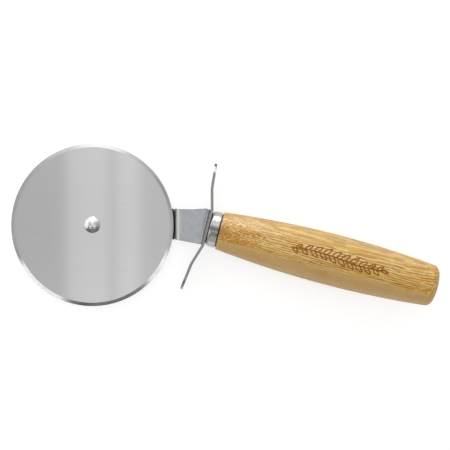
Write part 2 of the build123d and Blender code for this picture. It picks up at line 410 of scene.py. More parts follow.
class MeshTrees:
    """The rules that shape the pieces, as Geometry Nodes trees.

    Attributes:
        turning: Turns a profile round the x axis.
        ruled: Joins two edges by straight lines.
        burnt: Lays flat lines on a barrel.
    """

    def __init__(self) -> None:
        """Builds each tree once."""
        self.turning = self._turning_tree()
        self.ruled = self._ruled_tree()
        self.burnt = self._burnt_tree()

    @staticmethod
    def _start(name: str, sizes: list[tuple[str, str, Any]]) -> TreeParts:
        """Makes an empty tree that takes a line, some sizes and a material.

        Args:
            name: The tree's name.
            sizes: Name, socket type and first value of each size.

        Returns:
            The tree, its sketch, its input node and its output node.
        """
        geometry = ("Geometry", "NodeSocketGeometry")
        inputs = [(*geometry, None), *sizes, ("Material", "NodeSocketMaterial", None)]
        return socket_group(name, "GeometryNodeTree", inputs, [geometry])

    @staticmethod
    def _grid(parts: TreeParts, columns: Socket) -> tuple[Socket, Socket, Socket]:
        """Makes a grid with one row for each point of the line that comes in.

        Args:
            parts: What _start returned.
            columns: Number of vertices in each row.

        Returns:
            The grid, each vertex's row and each vertex's column.
        """
        _, sketch, source, _ = parts
        size = sketch.add("GeometryNodeAttributeDomainSize", {"Geometry": source.outputs["Geometry"]})
        grid = sketch.add(
            "GeometryNodeMeshGrid",
            {"Vertices X": size.outputs["Point Count"], "Vertices Y": columns},
        )
        index = sketch.add("GeometryNodeInputIndex").outputs[0]
        row = sketch.add("FunctionNodeIntegerMath", {0: index, 1: columns}, operation="DIVIDE_FLOOR")
        column = sketch.add("FunctionNodeIntegerMath", {0: index, 1: columns}, operation="MODULO")
        return grid.outputs["Mesh"], row.outputs[0], column.outputs[0]

    @staticmethod
    def _sample(parts: TreeParts, value: Socket, row: Socket) -> Socket:
        """Reads a vector at one point of the line that comes in.

        Args:
            parts: What _start returned.
            value: The vector, as each point has it.
            row: The point's number.

        Returns:
            The vector at that point.
        """
        _, sketch, source, _ = parts
        inputs = {"Geometry": source.outputs["Geometry"], "Value": value, "Index": row}
        return sketch.add("GeometryNodeSampleIndex", inputs, data_type="FLOAT_VECTOR").outputs[0]

    @staticmethod
    def _close(parts: TreeParts, shape: Socket, place: Socket) -> Tree:
        """Sets a shape's vertices down, welds its seams and poles and gives it its material.

        Args:
            parts: What _start returned.
            shape: The shape.
            place: Where each vertex goes.

        Returns:
            The finished tree.
        """
        tree, sketch, source, target = parts
        moved = sketch.add("GeometryNodeSetPosition", {"Geometry": shape, "Position": place})
        welded = sketch.add(
            "GeometryNodeMergeByDistance", {"Geometry": moved.outputs[0], "Distance": SEAM_GAP}
        )
        real = sketch.add("GeometryNodeRealizeInstances", {"Geometry": welded.outputs[0]})
        painted = sketch.add(
            "GeometryNodeSetMaterial",
            {"Geometry": real.outputs[0], "Material": source.outputs["Material"]},
        )
        sketch.fill(target, {0: painted.outputs[0]})
        return tree

    def _turning_tree(self) -> Tree:
        """Builds the lathe: each point (x, y) of a line is turned round the x axis at radius y.

        Returns:
            The tree.
        """
        parts = self._start("turning", [("Segments", "NodeSocketInt", 96)])
        _, sketch, source, _ = parts
        segments = source.outputs["Segments"]
        grid, row, column = self._grid(parts, sketch.math("ADD", segments, 1.0))
        point = sketch.add("GeometryNodeInputPosition").outputs[0]
        x, radius, _ = sketch.split(self._sample(parts, point, row))
        angle = sketch.math("DIVIDE", sketch.math("MULTIPLY", column, 2 * pi), segments)
        y = sketch.math("MULTIPLY", radius, sketch.math("COSINE", angle))
        z = sketch.math("MULTIPLY", radius, sketch.math("SINE", angle))
        return self._close(parts, grid, sketch.join(x, y, z))

    def _ruled_tree(self) -> Tree:
        """Builds the sheet rule: straight lines join a near edge to its far_edge attribute.

        Returns:
            The tree.
        """
        parts = self._start("ruled_sheet", [("Columns", "NodeSocketInt", 9)])
        _, sketch, source, _ = parts
        columns = source.outputs["Columns"]
        grid, row, column = self._grid(parts, columns)
        near = sketch.add("GeometryNodeInputPosition").outputs[0]
        far = sketch.add("GeometryNodeInputNamedAttribute", {"Name": "far_edge"}, data_type="FLOAT_VECTOR")
        start = self._sample(parts, near, row)
        stop = self._sample(parts, far.outputs[0], row)
        share = sketch.math("DIVIDE", column, sketch.math("SUBTRACT", columns, 1.0))
        step = sketch.scaled(sketch.vector("SUBTRACT", stop, start), share)
        return self._close(parts, grid, sketch.vector("ADD", start, step))

    def _burnt_tree(self) -> Tree:
        """Builds flat lines that lie on a barrel whose side is an arc. The lines come in as edges.

        Returns:
            The tree.
        """
        sizes = [
            ("Width", "NodeSocketFloat", 0.5),
            ("Arc Place", "NodeSocketFloat", 0.0),
            ("Arc Depth", "NodeSocketFloat", 0.0),
            ("Arc Radius", "NodeSocketFloat", 1.0),
            ("Lift", "NodeSocketFloat", 0.02),
        ]
        parts = self._start("burnt_line", sizes)
        _, sketch, source, _ = parts
        curve = sketch.add("GeometryNodeMeshToCurve", {0: source.outputs["Geometry"]})
        level = sketch.add("GeometryNodeSetCurveNormal", {0: curve.outputs[0]}, mode="Z_UP")
        half = sketch.math("MULTIPLY", source.outputs["Width"], 0.5)
        left = sketch.join(sketch.math("MULTIPLY", half, -1.0))
        stroke = sketch.add("GeometryNodeCurvePrimitiveLine", {"Start": left, "End": sketch.join(half)})
        ribbon = sketch.add(
            "GeometryNodeCurveToMesh", {"Curve": level.outputs[0], "Profile Curve": stroke.outputs[0]}
        )
        x, y, _ = sketch.split(sketch.add("GeometryNodeInputPosition").outputs[0])
        reach = sketch.math("SUBTRACT", x, source.outputs["Arc Place"])
        side = sketch.leg(source.outputs["Arc Radius"], reach)
        height = sketch.leg(sketch.math("ADD", side, source.outputs["Arc Depth"]), y)
        place = sketch.join(x, y, sketch.math("ADD", height, source.outputs["Lift"]))
        return self._close(parts, ribbon.outputs[0], place)


@dataclass
class Workshop:
    """Turns lines into finished pieces and puts them in the row frame."""

    tool: ToolFrame
    trees: MeshTrees  # the shaping rules

    @staticmethod
    def _line_object(name: str, *lines: list[Vector]) -> Piece:
        """Makes an object that holds one or more lines of vertices.

        Args:
            name: The object's name.
            lines: Each line's points.

        Returns:
            The object.
        """
        points, runs = [], []
        for line in lines:
            first = len(points)
            points += line
            runs += [(i, i + 1) for i in range(first, first + len(line) - 1)]
        mesh = bpy.data.meshes.new(name)
        mesh.from_pydata(points, runs, [])
        piece = bpy.data.objects.new(name, mesh)
        bpy.context.scene.collection.objects.link(piece)
        return piece

    @staticmethod
    def _shape(piece: Piece, tree: Tree, values: dict[str, Any]) -> None:
        """Adds a Geometry Nodes modifier and sets its inputs by the sockets' identifiers.

        Args:
            piece: The object.
            tree: The rule that shapes it.
            values: Values by the input's name.
        """
        modifier = piece.modifiers.new(tree.name, "NODES")
        modifier.node_group = tree
        for socket in tree.interface.items_tree:
            if socket.in_out == "INPUT" and socket.name in values:
                modifier[socket.identifier] = values[socket.name]

    def _settle(self, piece: Piece, matrix: Matrix, finish: Material) -> None:
        """Swaps a piece's modifiers for a plain mesh in the row frame.

        Args:
            piece: The piece, still with its modifiers.
            matrix: Takes the mesh from its own frame to the row frame.
            finish: The material of every face.
        """
        self._freeze(piece)
        mesh = piece.data
        mesh.transform(matrix)
        soft = bmesh.new()
        soft.from_mesh(mesh)
        bmesh.ops.remove_doubles(soft, verts=soft.verts, dist=WELD_LENGTH)
        bmesh.ops.recalc_face_normals(soft, faces=soft.faces)
        soft.to_mesh(mesh)
        soft.free()
        mesh.shade_smooth()
        mesh.set_sharp_from_angle(angle=SHARP_ANGLE)
        weigh = piece.modifiers.new("weigh", "WEIGHTED_NORMAL")
        weigh.keep_sharp = True
        self._freeze(piece)
        piece.data.materials.clear()
        piece.data.materials.append(finish)

    @staticmethod
    def _freeze(piece: Piece) -> None:
        """Turns a piece's modifiers into plain mesh.

        Args:
            piece: The piece.
        """
        graph = bpy.context.evaluated_depsgraph_get()
        mesh = bpy.data.meshes.new_from_object(piece.evaluated_get(graph))
        piece.modifiers.clear()
        piece.data = mesh
        mesh.name = piece.name

    def turn(
        self, name: str, profile: list[Point], segments: int, axis: Matrix, finish: Material
    ) -> Piece:
        """Turns a profile round the x axis and sets the piece down.

        Args:
            name: The piece's name.
            profile: Places along the axis and radii, in millimetres.
            segments: Number of faces round the axis.
            axis: Takes the turning's x axis to its place in the cutter's frame.
            finish: The piece's material.

        Returns:
            The finished object.
        """
        piece = self._line_object(name, [Vector((x, max(r, 0.0), 0.0)) for x, r in profile])
        self._shape(piece, self.trees.turning, {"Segments": segments, "Material": finish})
        self._settle(piece, self.tool.matrix @ axis, finish)
        return piece

    def sheet(
        self,
        name: str,
        edges: list[Rule],
        columns: int,
        thickness: float,
        edge_radius: float,
        finish: Material,
    ) -> Piece:
        """Makes a bent sheet from pairs of points on its two edges.

        Args:
            name: The piece's name.
            edges: Near and far point of each rule, on the sheet's middle surface.
            columns: Number of vertices across the sheet.
            thickness: The sheet's thickness, in millimetres.
            edge_radius: How far its cut edges are rounded.
            finish: The piece's material.

        Returns:
            The finished object.
        """
        piece = self._line_object(name, [near for near, _ in edges])
        far = piece.data.attributes.new("far_edge", "FLOAT_VECTOR", "POINT")
        far.data.foreach_set("vector", [value for _, end in edges for value in end])
        self._shape(piece, self.trees.ruled, {"Columns": columns, "Material": finish})
        wall = piece.modifiers.new("wall", "SOLIDIFY")
        wall.thickness = thickness
        wall.offset = 0.0
        wall.use_even_offset = True
        wall.use_quality_normals = True
        ease = piece.modifiers.new("ease", "BEVEL")
        ease.width = edge_radius
        ease.segments = 3
        ease.limit_method = "ANGLE"
        ease.angle_limit = EASED_ANGLE
        ease.use_clamp_overlap = False
        self._settle(piece, self.tool.matrix, finish)
        self._mark_cut_edge(piece, edges, columns)
        return piece

    def burn(
        self, name: str, lines: list[list[Point]], values: dict[str, float], depth: float, finish: Material
    ) -> Piece:
        """Lays burnt lines on the barrel.

        Args:
            name: The piece's name.
            lines: The lines, in the cutter's x and y.
            values: The burnt tree's sizes.
            depth: How far the lines reach down into the wood.
            finish: The piece's material.

        Returns:
            The finished object.
        """
        piece = self._line_object(name, *[[Vector((x, y, 0.0)) for x, y in line] for line in lines])
        self._shape(piece, self.trees.burnt, {**values, "Material": finish})
        wall = piece.modifiers.new("wall", "SOLIDIFY")
        wall.thickness = depth
        wall.offset = -1.0
        self._settle(piece, self.tool.matrix, finish)
        return piece

    def _mark_cut_edge(self, piece: Piece, edges: list[Rule], columns: int) -> None:
        """Marks the faces that the shears cut, which stand square to the sheet.

        Args:
            piece: The finished sheet.
            edges: The rules that it was made from.
            columns: Number of vertices across it.
        """
        count = len(edges)
        normals, points = [], []
        for i, (near, far) in enumerate(edges):
            before, after = edges[max(i - 1, 0)], edges[min(i + 1, count - 1)]
            for share in (k / (columns - 1) for k in range(columns)):
                along = after[0].lerp(after[1], share) - before[0].lerp(before[1], share)
                normals.append(along.cross(far - near).normalized())
                points.append(self.tool.matrix @ near.lerp(far, share))
        tree = KDTree(len(points))
        for i, point in enumerate(points):
            tree.insert(point, i)
        tree.balance()
        mark = piece.data.attributes.new("cut_edge", "FLOAT", "FACE")
        turn = self.tool.matrix.to_3x3().normalized()
        for face in piece.data.polygons:
            _, nearest, _ = tree.find(face.center)
            cosine = abs(face.normal.dot(turn @ normals[nearest]))
            mark.data[face.index].value = float(cosine < CUT_COSINE)

    @staticmethod
    def hand_over(piece: Piece, body: str, slot: str, node: str | None = None) -> None:
        """Puts a piece on its body and hides the CAD node that it stands for.

        Args:
            piece: The finished piece.
            body: The CAD body that it rides on.
            slot: The record's material slot. Not used.
            node: The CAD node that it replaces, if any.
        """
        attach(piece, body)
        if node is not None:
            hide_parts(node)
        faces = len(piece.data.polygons)
        log.info("%s: %d faces, rides on %s, stands for %s", piece.name, faces, body, node or "nothing")


# Finishes


class Lay(Enum):
    """The way that a metal's surface marks run."""

    STRAIGHT = "straight"
    AROUND = "around"
    BLASTED = "blasted"
    POLISHED = "polished"


class MarkGroups:
    """Surface effects that several finishes share, as shader node groups.

    Attributes:
        lines: Long fine lines.
        mottle: Grain, clouds and flecks.
    """

    def __init__(self) -> None:
        """Builds every group once."""
        self.lines = self._lines_group()
        self.mottle = self._mottle_group()

    @staticmethod
    def _lines_group() -> Tree:
        """Builds long fine lines along x, at two widths. The vector is in millimetres.

        Returns:
            The group.
        """
        tree, sketch, source, target = socket_group(
            "ground_lines",
            "ShaderNodeTree",
            [
                ("Vector", "NodeSocketVector", None),
                ("Length", "NodeSocketFloat", 30.0),
                ("Width", "NodeSocketFloat", 0.12),
            ],
            [("Lines", "NodeSocketFloat"), ("Bands", "NodeSocketFloat")],
        )
        along, across, deep = sketch.split(source.outputs["Vector"])
        for name, times_length, times_width in (("Lines", 1.0, 1.0), ("Bands", 2.0, 6.0)):
            length = sketch.math("MULTIPLY", source.outputs["Length"], times_length)
            width = sketch.math("MULTIPLY", source.outputs["Width"], times_width)
            stretched = sketch.join(
                sketch.math("DIVIDE", along, length),
                sketch.math("DIVIDE", across, width),
                sketch.math("DIVIDE", deep, width),
            )
            sketch.fill(target, {name: sketch.noise(stretched, 1.0).outputs["Fac"]})
        return tree

    @staticmethod
    def _mottle_group() -> Tree:
        """Builds a fine grain, soft clouds and sparse bright flecks. The vector is in millimetres.

        Returns:
            The group.
        """
        tree, sketch, source, target = socket_group(
            "mottle",
            "ShaderNodeTree",
            [("Vector", "NodeSocketVector", None), ("Grain", "NodeSocketFloat", 0.25)],
            [("Grain", "NodeSocketFloat"), ("Clouds", "NodeSocketFloat"), ("Flecks", "NodeSocketFloat")],
        )
        grain_stretch, fleck_stretch = (3.0, 1.0, 1.0), (2.4, 1.0, 1.0)
        cloud_scale, fleck_scale, fleck_chance = 0.22, 0.7, 0.93
        fleck_edge = (0.3, 0.1)
        vector = source.outputs["Vector"]
        fine = sketch.scaled(vector, sketch.math("DIVIDE", 1.0, source.outputs["Grain"]))
        cells = sketch.add(
            "ShaderNodeTexVoronoi",
            {"Vector": sketch.stretched(vector, fleck_stretch), "Scale": fleck_scale},
        )
        few = sketch.math("GREATER_THAN", sketch.split(cells.outputs["Color"])[0], fleck_chance)
        marks = {
            "Grain": sketch.spots(fine, grain_stretch, roughness=GRITTY),
            "Clouds": sketch.noise(vector, cloud_scale, detail=3.0).outputs["Fac"],
            "Flecks": sketch.math("MULTIPLY", sketch.ramp(cells.outputs["Distance"], *fleck_edge), few),
        }
        sketch.fill(target, marks)
        return tree


class PaintedLightPlace(Enum):
    """What a patch of painted shade or painted highlight is measured from."""

    WHEEL_AXIS = "distance from the wheel's axis"
    ALONG = "the cutter's x, which starts at the ferrule's front"
    ACROSS = "the cutter's y, which starts at the handle's axis"


@dataclass(frozen=True)
class PaintedLight:
    """A patch of painted shade or painted highlight, laid over a surface's colour."""

    place: PaintedLightPlace  # what start and stop are measured from
    start: float  # where it begins, in millimetres
    stop: float  # where it ends
    softness: float  # length over which it fades
    colour: Triple  # linear colour there
    lean: float = 0.0  # how far its borders lean, as a slope against the other of x and y
    floor: float | None = None  # it shows only over this height in the cutter's frame

    def over(self, sketch: NodeSketch, tool: ToolFrame, tone: Any) -> Socket:
        """Lays the painted shade or highlight over a tone.

        Args:
            sketch: The material's sketch.
            tool: The cutter's frame.
            tone: The colour under it.

        Returns:
            The colour with the painted shade or highlight.
        """
        vector = tool_coordinates(sketch, tool)
        parts = sketch.split(vector)
        if self.place is PaintedLightPlace.WHEEL_AXIS:
            offset = sketch.vector("SUBTRACT", vector, WHEEL_CENTRE)
            flat = sketch.vector("MULTIPLY", offset, (1.0, 1.0, 0.0))
            reach = sketch.measured("LENGTH", flat)
        else:
            axis = 0 if self.place is PaintedLightPlace.ALONG else 1
            reach = sketch.weighted((parts[axis], 1.0), (parts[1 - axis], self.lean))
        rise = sketch.ramp(reach, self.start - self.softness / 2, self.start + self.softness / 2)
        fall = sketch.ramp(reach, self.stop + self.softness / 2, self.stop - self.softness / 2)
        share = sketch.math("MULTIPLY", rise, fall)
        if self.floor is not None:
            share = sketch.math("MULTIPLY", share, sketch.math("GREATER_THAN", parts[2], self.floor))
        return sketch.blend(share, tone, opaque(self.colour))


@dataclass(frozen=True)
class SteelFinish:
    """One steel surface."""

    name: str
    colour: Triple  # linear base colour
    roughness: float  # middle roughness
    lay: Lay  # how the surface marks run
    anisotropy: float = 0.0  # how far highlights stretch across straight lines
    colour_play: float = 0.08  # how much lines and clouds change the colour
    roughness_play: float = 0.08  # how much they change the roughness
    depth: float = 2e-6  # height of the marks in the Bump node, in metres
    grain: float = 0.15  # size of the smallest marks, in millimetres
    painted_light: tuple[PaintedLight, ...] = ()  # places of painted shade and painted highlight
    cut_edge: float | None = None  # grey of the sheared edges, where the sheet has them
    mark_shares: Pair = (0.6, 0.4)  # weights of the fine and the broad marks in colour and relief
    fleck: float = 0.92  # grey of a blasted face's flecks
    fleck_share: float = 0.6  # their strength
    round_radius: float = 10.0  # radius at which lengths round the handle's axis are true, in millimetres

    def material(self, marks: MarkGroups, tool: ToolFrame, lay_angle: float = 0.0) -> Material:
        """Builds the material.

        Args:
            marks: The shared mark groups.
            tool: The cutter's frame, to which the marks are aligned.
            lay_angle: Direction of straight lines, from the cutter's x axis.

        Returns:
            The material.
        """
        material, sketch, shader = principled(self.name)
        vector = tool_coordinates(sketch, tool, lay_angle)
        if self.lay is Lay.AROUND:
            vector = self._wrapped(sketch, vector)
        mottle = sketch.add("ShaderNodeGroup", node_tree=marks.mottle)
        sketch.fill(mottle, {"Vector": vector, "Grain": self.grain})
        clouds = mottle.outputs["Clouds"]
        grain, bands = mottle.outputs["Grain"], clouds
        if self.lay in (Lay.STRAIGHT, Lay.AROUND):
            lines = sketch.add("ShaderNodeGroup", node_tree=marks.lines)
            sketch.fill(lines, {"Vector": vector, "Width": self.grain})
            grain, bands = lines.outputs["Lines"], lines.outputs["Bands"]
        mix = sketch.weighted((grain, self.mark_shares[0]), (bands, self.mark_shares[1]))
        dark = opaque(tuple(c * (1 - self.colour_play) for c in self.colour))
        light = opaque(tuple(min(c * (1 + self.colour_play), 1.0) for c in self.colour))
        tone = sketch.blend(sketch.ramp(mix, *NOISE_RANGE), dark, light)
        if self.lay is Lay.BLASTED:
            flecks = sketch.math("MULTIPLY", mottle.outputs["Flecks"], self.fleck_share)
            tone = sketch.blend(flecks, tone, grey(self.fleck))
        if self.cut_edge is not None:
            edge = sketch.add("ShaderNodeAttribute", attribute_name="cut_edge").outputs["Fac"]
            tone = sketch.blend(edge, tone, grey(self.cut_edge))
        # Patches of painted shade and painted highlight go over the tone.
        for light_patch in self.painted_light:
            tone = light_patch.over(sketch, tool, tone)
        low, high = self.roughness - self.roughness_play, self.roughness + self.roughness_play
        rough = sketch.ramp(sketch.weighted((clouds, 0.5), (grain, 0.5)), *NOISE_RANGE, low, high)
        normal = sketch.bump(mix, self.depth)
        sketch.fill(shader, {"Base Color": tone, "Roughness": rough, "Normal": normal, "Metallic": 1.0})
        if self.anisotropy > 0:
            tangent = sketch.add("ShaderNodeTangent", direction_type="UV_MAP", uv_map="lay")
            sketch.fill(shader, {"Anisotropic": self.anisotropy, "Tangent": tangent.outputs[0]})
        return material

    def _wrapped(self, sketch: NodeSketch, vector: Socket) -> Socket:
        """Returns coordinates that run round the handle's axis first, in millimetres.

        Args:
            sketch: The material's sketch.
            vector: The cutter's coordinates.

        Returns:
            Length round the axis, place along it and distance from it.
        """
        along, across, deep = sketch.split(vector)
        round_length = sketch.math("MULTIPLY", sketch.math("ARCTAN2", deep, across), self.round_radius)
        radius = sketch.measured("LENGTH", sketch.join(0.0, across, deep))
        return sketch.join(round_length, along, radius)


GROUND_FACE = SteelFinish(
    "ground_face",
    (0.597, 0.597, 0.598),
    0.12,
    Lay.STRAIGHT,
    anisotropy=1.0,
    colour_play=0.012,
    roughness_play=0.008,
    depth=2e-7,
)
GROUND_BEVEL = SteelFinish(
    "ground_bevel", (0.64, 0.64, 0.645), 0.17, Lay.POLISHED, colour_play=0.03, roughness_play=0.03, depth=1e-6
)
BRIGHT_RIVET = SteelFinish(
    "rivet_bright",
    (0.84, 0.84, 0.84),
    0.15,
    Lay.POLISHED,
    colour_play=0.03,
    roughness_play=0.06,
    depth=2.4e-4,
    grain=1.0,
    # Painted dark reflection on the dome's lower part, towards the picture's foot.
    painted_light=(PaintedLight(PaintedLightPlace.ACROSS, -4.5, -0.5, 1.0, (0.22, 0.22, 0.21), lean=-tan(NECK_SLANT), floor=1.0),),
)
MATT_NECK = SteelFinish(
    "neck_matt",
    (0.50, 0.517, 0.545),
    0.42,
    Lay.BLASTED,
    colour_play=0.12,
    depth=1.2e-5,
    grain=0.4,
    painted_light=(
        # Painted highlight: a pale band over the joggle's bend beside the wheel's rim.
        PaintedLight(PaintedLightPlace.WHEEL_AXIS, 46.0, 49.3, 0.9, (0.63, 0.63, 0.63), floor=-2.3),
        # Painted shade: near-black under the wheel's rim and in the gap between rim and joggle.
        PaintedLight(PaintedLightPlace.WHEEL_AXIS, 40.0, 45.7, 0.3, (0.022, 0.016, 0.013), floor=-2.3),
        # Painted highlight: lightens the flange's bend next to the guard.
        PaintedLight(PaintedLightPlace.ALONG, -2.7, -1.3, 0.8, (0.9, 0.89, 0.87), floor=1.0),
    ),
)
SATIN_GUARD = SteelFinish(
    "guard_satin",
    (0.55, 0.55, 0.55),
    0.24,
    Lay.STRAIGHT,
    colour_play=0.1,
    depth=5e-6,
    grain=0.25,
    cut_edge=0.33,
    painted_light=(
        # Painted glint: a bright band near the upper wing's tip.
        PaintedLight(PaintedLightPlace.ACROSS, 30.2, 32.6, 0.7, (0.75, 0.75, 0.75)),
        # Painted shade over the end of the upper wing's tip.
        PaintedLight(PaintedLightPlace.ACROSS, 32.75, 38.0, 0.6, (0.14, 0.14, 0.14)),
    ),
)
BRIGHT_FERRULE = SteelFinish(
    "ferrule_bright",
    (0.45, 0.45, 0.45),
    0.2,
    Lay.AROUND,
    colour_play=0.08,
    depth=2e-6,
    grain=0.25,
    painted_light=(
        # Painted dark reflection: a band along the ferrule's middle.
        PaintedLight(PaintedLightPlace.ACROSS, -0.8, 1.2, 1.3, (0.21, 0.21, 0.205)),
        # Painted shade: near-black over the ferrule's front, in the gap to the guard.
        PaintedLight(PaintedLightPlace.ALONG, -1.0, 0.45, 0.5, (0.03, 0.022, 0.018)),
    ),
)
PLAIN_STEEL = SteelFinish("washer_plain", (0.50, 0.50, 0.51), 0.38, Lay.BLASTED, colour_play=0.06, depth=4e-6)


def principled(name: str) -> tuple[Material, NodeSketch, Node]:
    """Makes a material with a Principled BSDF.

    Args:
        name: The material's name.

    Returns:
        The material, its sketch and its shader.
    """
    material = bpy.data.materials.new(name)
    material.use_nodes = True
    return material, NodeSketch(material.node_tree), material.node_tree.nodes["Principled BSDF"]


def tool_coordinates(sketch: NodeSketch, tool: ToolFrame, turn: float = 0.0) -> Socket:
    """Gives a material the cutter's own coordinates.

    Args:
        sketch: The material's sketch.
        tool: The cutter's frame.
        turn: Further turn about z, so that x follows a lay.

    Returns:
        A vector socket, in millimetres.
    """
    back = Matrix.Rotation(-turn, 4, "Z") @ tool.matrix.inverted()
    source = sketch.add("ShaderNodeTexCoord").outputs["Object"]
    inputs = {
        "Vector": source,
        "Location": back.to_translation(),
        "Rotation": back.to_euler("XYZ"),
        "Scale": (1 / MM, 1 / MM, 1 / MM),
    }
    return sketch.add("ShaderNodeMapping", inputs, vector_type="POINT").outputs[0]


@dataclass(frozen=True)
class BambooFinish:
    """Turned and lacquered bamboo, glued up from strips whose fibre bundles the turning cuts through.

    Lengths are in the cutter's millimetres. A spot size gives a pattern's spots along the handle,
    across the picture and in depth.
    """

    name: str = "turned_bamboo"
    light: Triple = (0.80, 0.575, 0.230)  # colour of the soft ground tissue
    tan: Triple = (0.715, 0.438, 0.096)  # colour of its darker layers
    smooth: Triple = (0.515, 0.315, 0.105)  # colour of the plain strip along the picture's lower side
    smooth_share: float = 0.75  # its strength
    # Fibre values from and to which the tone darkens, and how far.
    fibre_shade: Rise = (0.45, 0.75, 0.0, 0.28)
    knot_shade: Rise = (0.3, 0.6, 0.3, 0.9)  # the same in a knot
    bundle: Triple = (0.41, 0.155, 0.004)  # colour of a cut fibre bundle
    pit: Triple = (0.10, 0.035, 0.012)  # colour of a small open pore
    pit_share: float = 0.9  # its strength
    roughness: float = 0.30  # middle roughness of the lacquer
    roughness_play: Pair = (0.12, 0.16)  # how far it falls and rises
    lacquer_index: float = 1.45  # refractive index that tells a grazing view
    # Fresnel values from and to which the specular level falls, and its two levels.
    grazing_shine: Rise = (0.06, 0.30, 0.5, 0.05)
    depth: float = 1.5e-4  # height of the marks in the Bump node, in metres
    relief: tuple[float, ...] = (1.1, 0.3, -0.3, -1.0)  # weights of gloss, fibres, bundles and pores in it
    layer_spots: Triple = (40.0, 3.4, 3.4)  # spot size of the darker layers
    fibre_spots: Triple = (7.0, 0.30, 0.30)  # of the fine fibres
    line_spots: Triple = (15.0, 0.36, 0.36)  # of the long bundles
    dash_spots: Triple = (1.5, 0.40, 0.45)  # of the short bundles at the front
    gloss_spots: Triple = (2.8, 0.55, 0.55)  # of the lacquer's unevenness
    drift_spots: Triple = (24.0, 3.0, 3.0)  # of the bundle rows' wander
    patch_spots: Triple = (22.0, 4.0, 4.0)  # of the places with strong bundles
    warp_spots: Triple = (30.0, 7.0, 7.0)  # of the grain's slow wander
    warp: Triple = (0.0, 2.0, 2.0)  # how far the grain wanders along, across and in depth
    swirl: Pair = (0.4, 2.6)  # how far it swirls, and how much farther at a knot
    swirl_scale: float = 0.30  # swirls in a millimetre
    # Phase of the bundle rows: radians for a millimetre across, for one in depth and for the drift.
    row_weights: Triple = (4.9, 2.4, 4.0)
    row_height: float = 0.12  # strength of the rows
    line_level: Pair = (0.7, 0.15)  # weight of the long bundles, and what is added to them
    dash_level: Pair = (0.4, 0.025)  # weight of the rows among the dashes, and what is added
    bundle_edge: Pair = (0.49, 0.55)  # values at which a bundle begins and is full
    # Values from and to which bundles grow, and their strength there.
    patch_edge: Rise = (0.35, 0.6, 0.75, 1.0)
    plain_loss: float = 0.8  # share of the bundles that the plain strip lacks
    plain_side: Pair = (-3.6, -7.0)  # where the plain strip begins and where it is full, across the handle
    dashed_front: Pair = (46.0, 14.0)  # where the dashes begin and where they are full, along the handle
    # Where bundles begin and end to fade, across the handle, and their strength there.
    faded_side: Rise = (4.0, 10.0, 1.0, 0.6)
    # Places where a node of the cane shows, and their darkness.
    knots: tuple[Mark, ...] = (
        (8.5, 0.0, 10.5, 1.0),
        (66.0, -9.0, 10.5, 0.35),
        (92.0, 8.0, -10.0, 0.7),
        (38.0, -3.0, -12.0, 0.5),
    )
    knot_size: Triple = (6.5, 4.6, 6.5)  # a knot's reach along each axis
    pits: tuple[Triple, ...] = (  # places of open pores
        (7.4, 2.8, 10.3),
        (10.0, 3.0, 10.6),
        (7.0, -1.6, 10.4),
        (6.9, -3.0, 10.1),
        (53.1, -5.8, 12.7),
        (64.5, -3.4, 13.7),
        (30.0, 4.0, -11.4),
        (84.0, -6.0, -12.3),
    )
    pit_size: Triple = (0.5, 0.36, 1.2)  # a pore's reach along each axis
    # Painted shade in the seam: near-black over the tenon and the gap up to the wood's shoulder.
    painted_light: tuple[PaintedLight, ...] = (PaintedLight(PaintedLightPlace.ALONG, -1.0, 6.3, 0.12, (0.025, 0.02, 0.018)),)

    def material(self, tool: ToolFrame) -> Material:
        """Builds the material.

        Args:
            tool: The cutter's frame.

        Returns:
            The material.
        """
        material, sketch, shader = principled(self.name)
        vector = tool_coordinates(sketch, tool)
        knot = self._near(sketch, vector, self.knots, self.knot_size, core=0.1)
        pores = [(*place, 1.0) for place in self.pits]
        pits = self._near(sketch, vector, pores, self.pit_size, core=0.5)
        grain = self._warped(sketch, vector, knot)
        along, across, _ = sketch.split(vector)
        plain = sketch.ramp(across, *self.plain_side)
        bundles = self._bundles(sketch, grain, plain, sketch.ramp(along, *self.dashed_front))
        fibres = sketch.spots(grain, self.fibre_spots, roughness=GRITTY)
        gloss = sketch.spots(grain, self.gloss_spots, roughness=GRITTY)

        layers = sketch.ramp(sketch.spots(grain, self.layer_spots), *CORE_RANGE)
        tone = sketch.blend(layers, opaque(self.light), opaque(self.tan))
        for share, colour in (
            (sketch.math("MULTIPLY", plain, self.smooth_share), self.smooth),
            (sketch.ramp(fibres, *self.fibre_shade), self.bundle),
            (bundles, self.bundle),
            (sketch.math("MULTIPLY", knot, sketch.ramp(fibres, *self.knot_shade)), self.bundle),
            (sketch.math("MULTIPLY", pits, self.pit_share), self.pit),
        ):
            tone = sketch.blend(share, tone, opaque(colour))
        # The painted shade of the seam goes over the tone.
        for light_patch in self.painted_light:
            tone = light_patch.over(sketch, tool, tone)

        low, high = self.roughness - self.roughness_play[0], self.roughness + self.roughness_play[1]
        relief = sketch.weighted(*zip((gloss, fibres, bundles, pits), self.relief))
        # The lacquer mirrors less at grazing angles, where it would hide the wood's colour.
        grazing = sketch.add("ShaderNodeFresnel", {"IOR": self.lacquer_index}).outputs[0]
        looks = {
            "Base Color": tone,
            "Roughness": sketch.ramp(gloss, *CORE_RANGE, low, high),
            "Normal": sketch.bump(relief, self.depth),
            "Specular IOR Level": sketch.ramp(grazing, *self.grazing_shine),
        }
        sketch.fill(shader, looks)
        return material

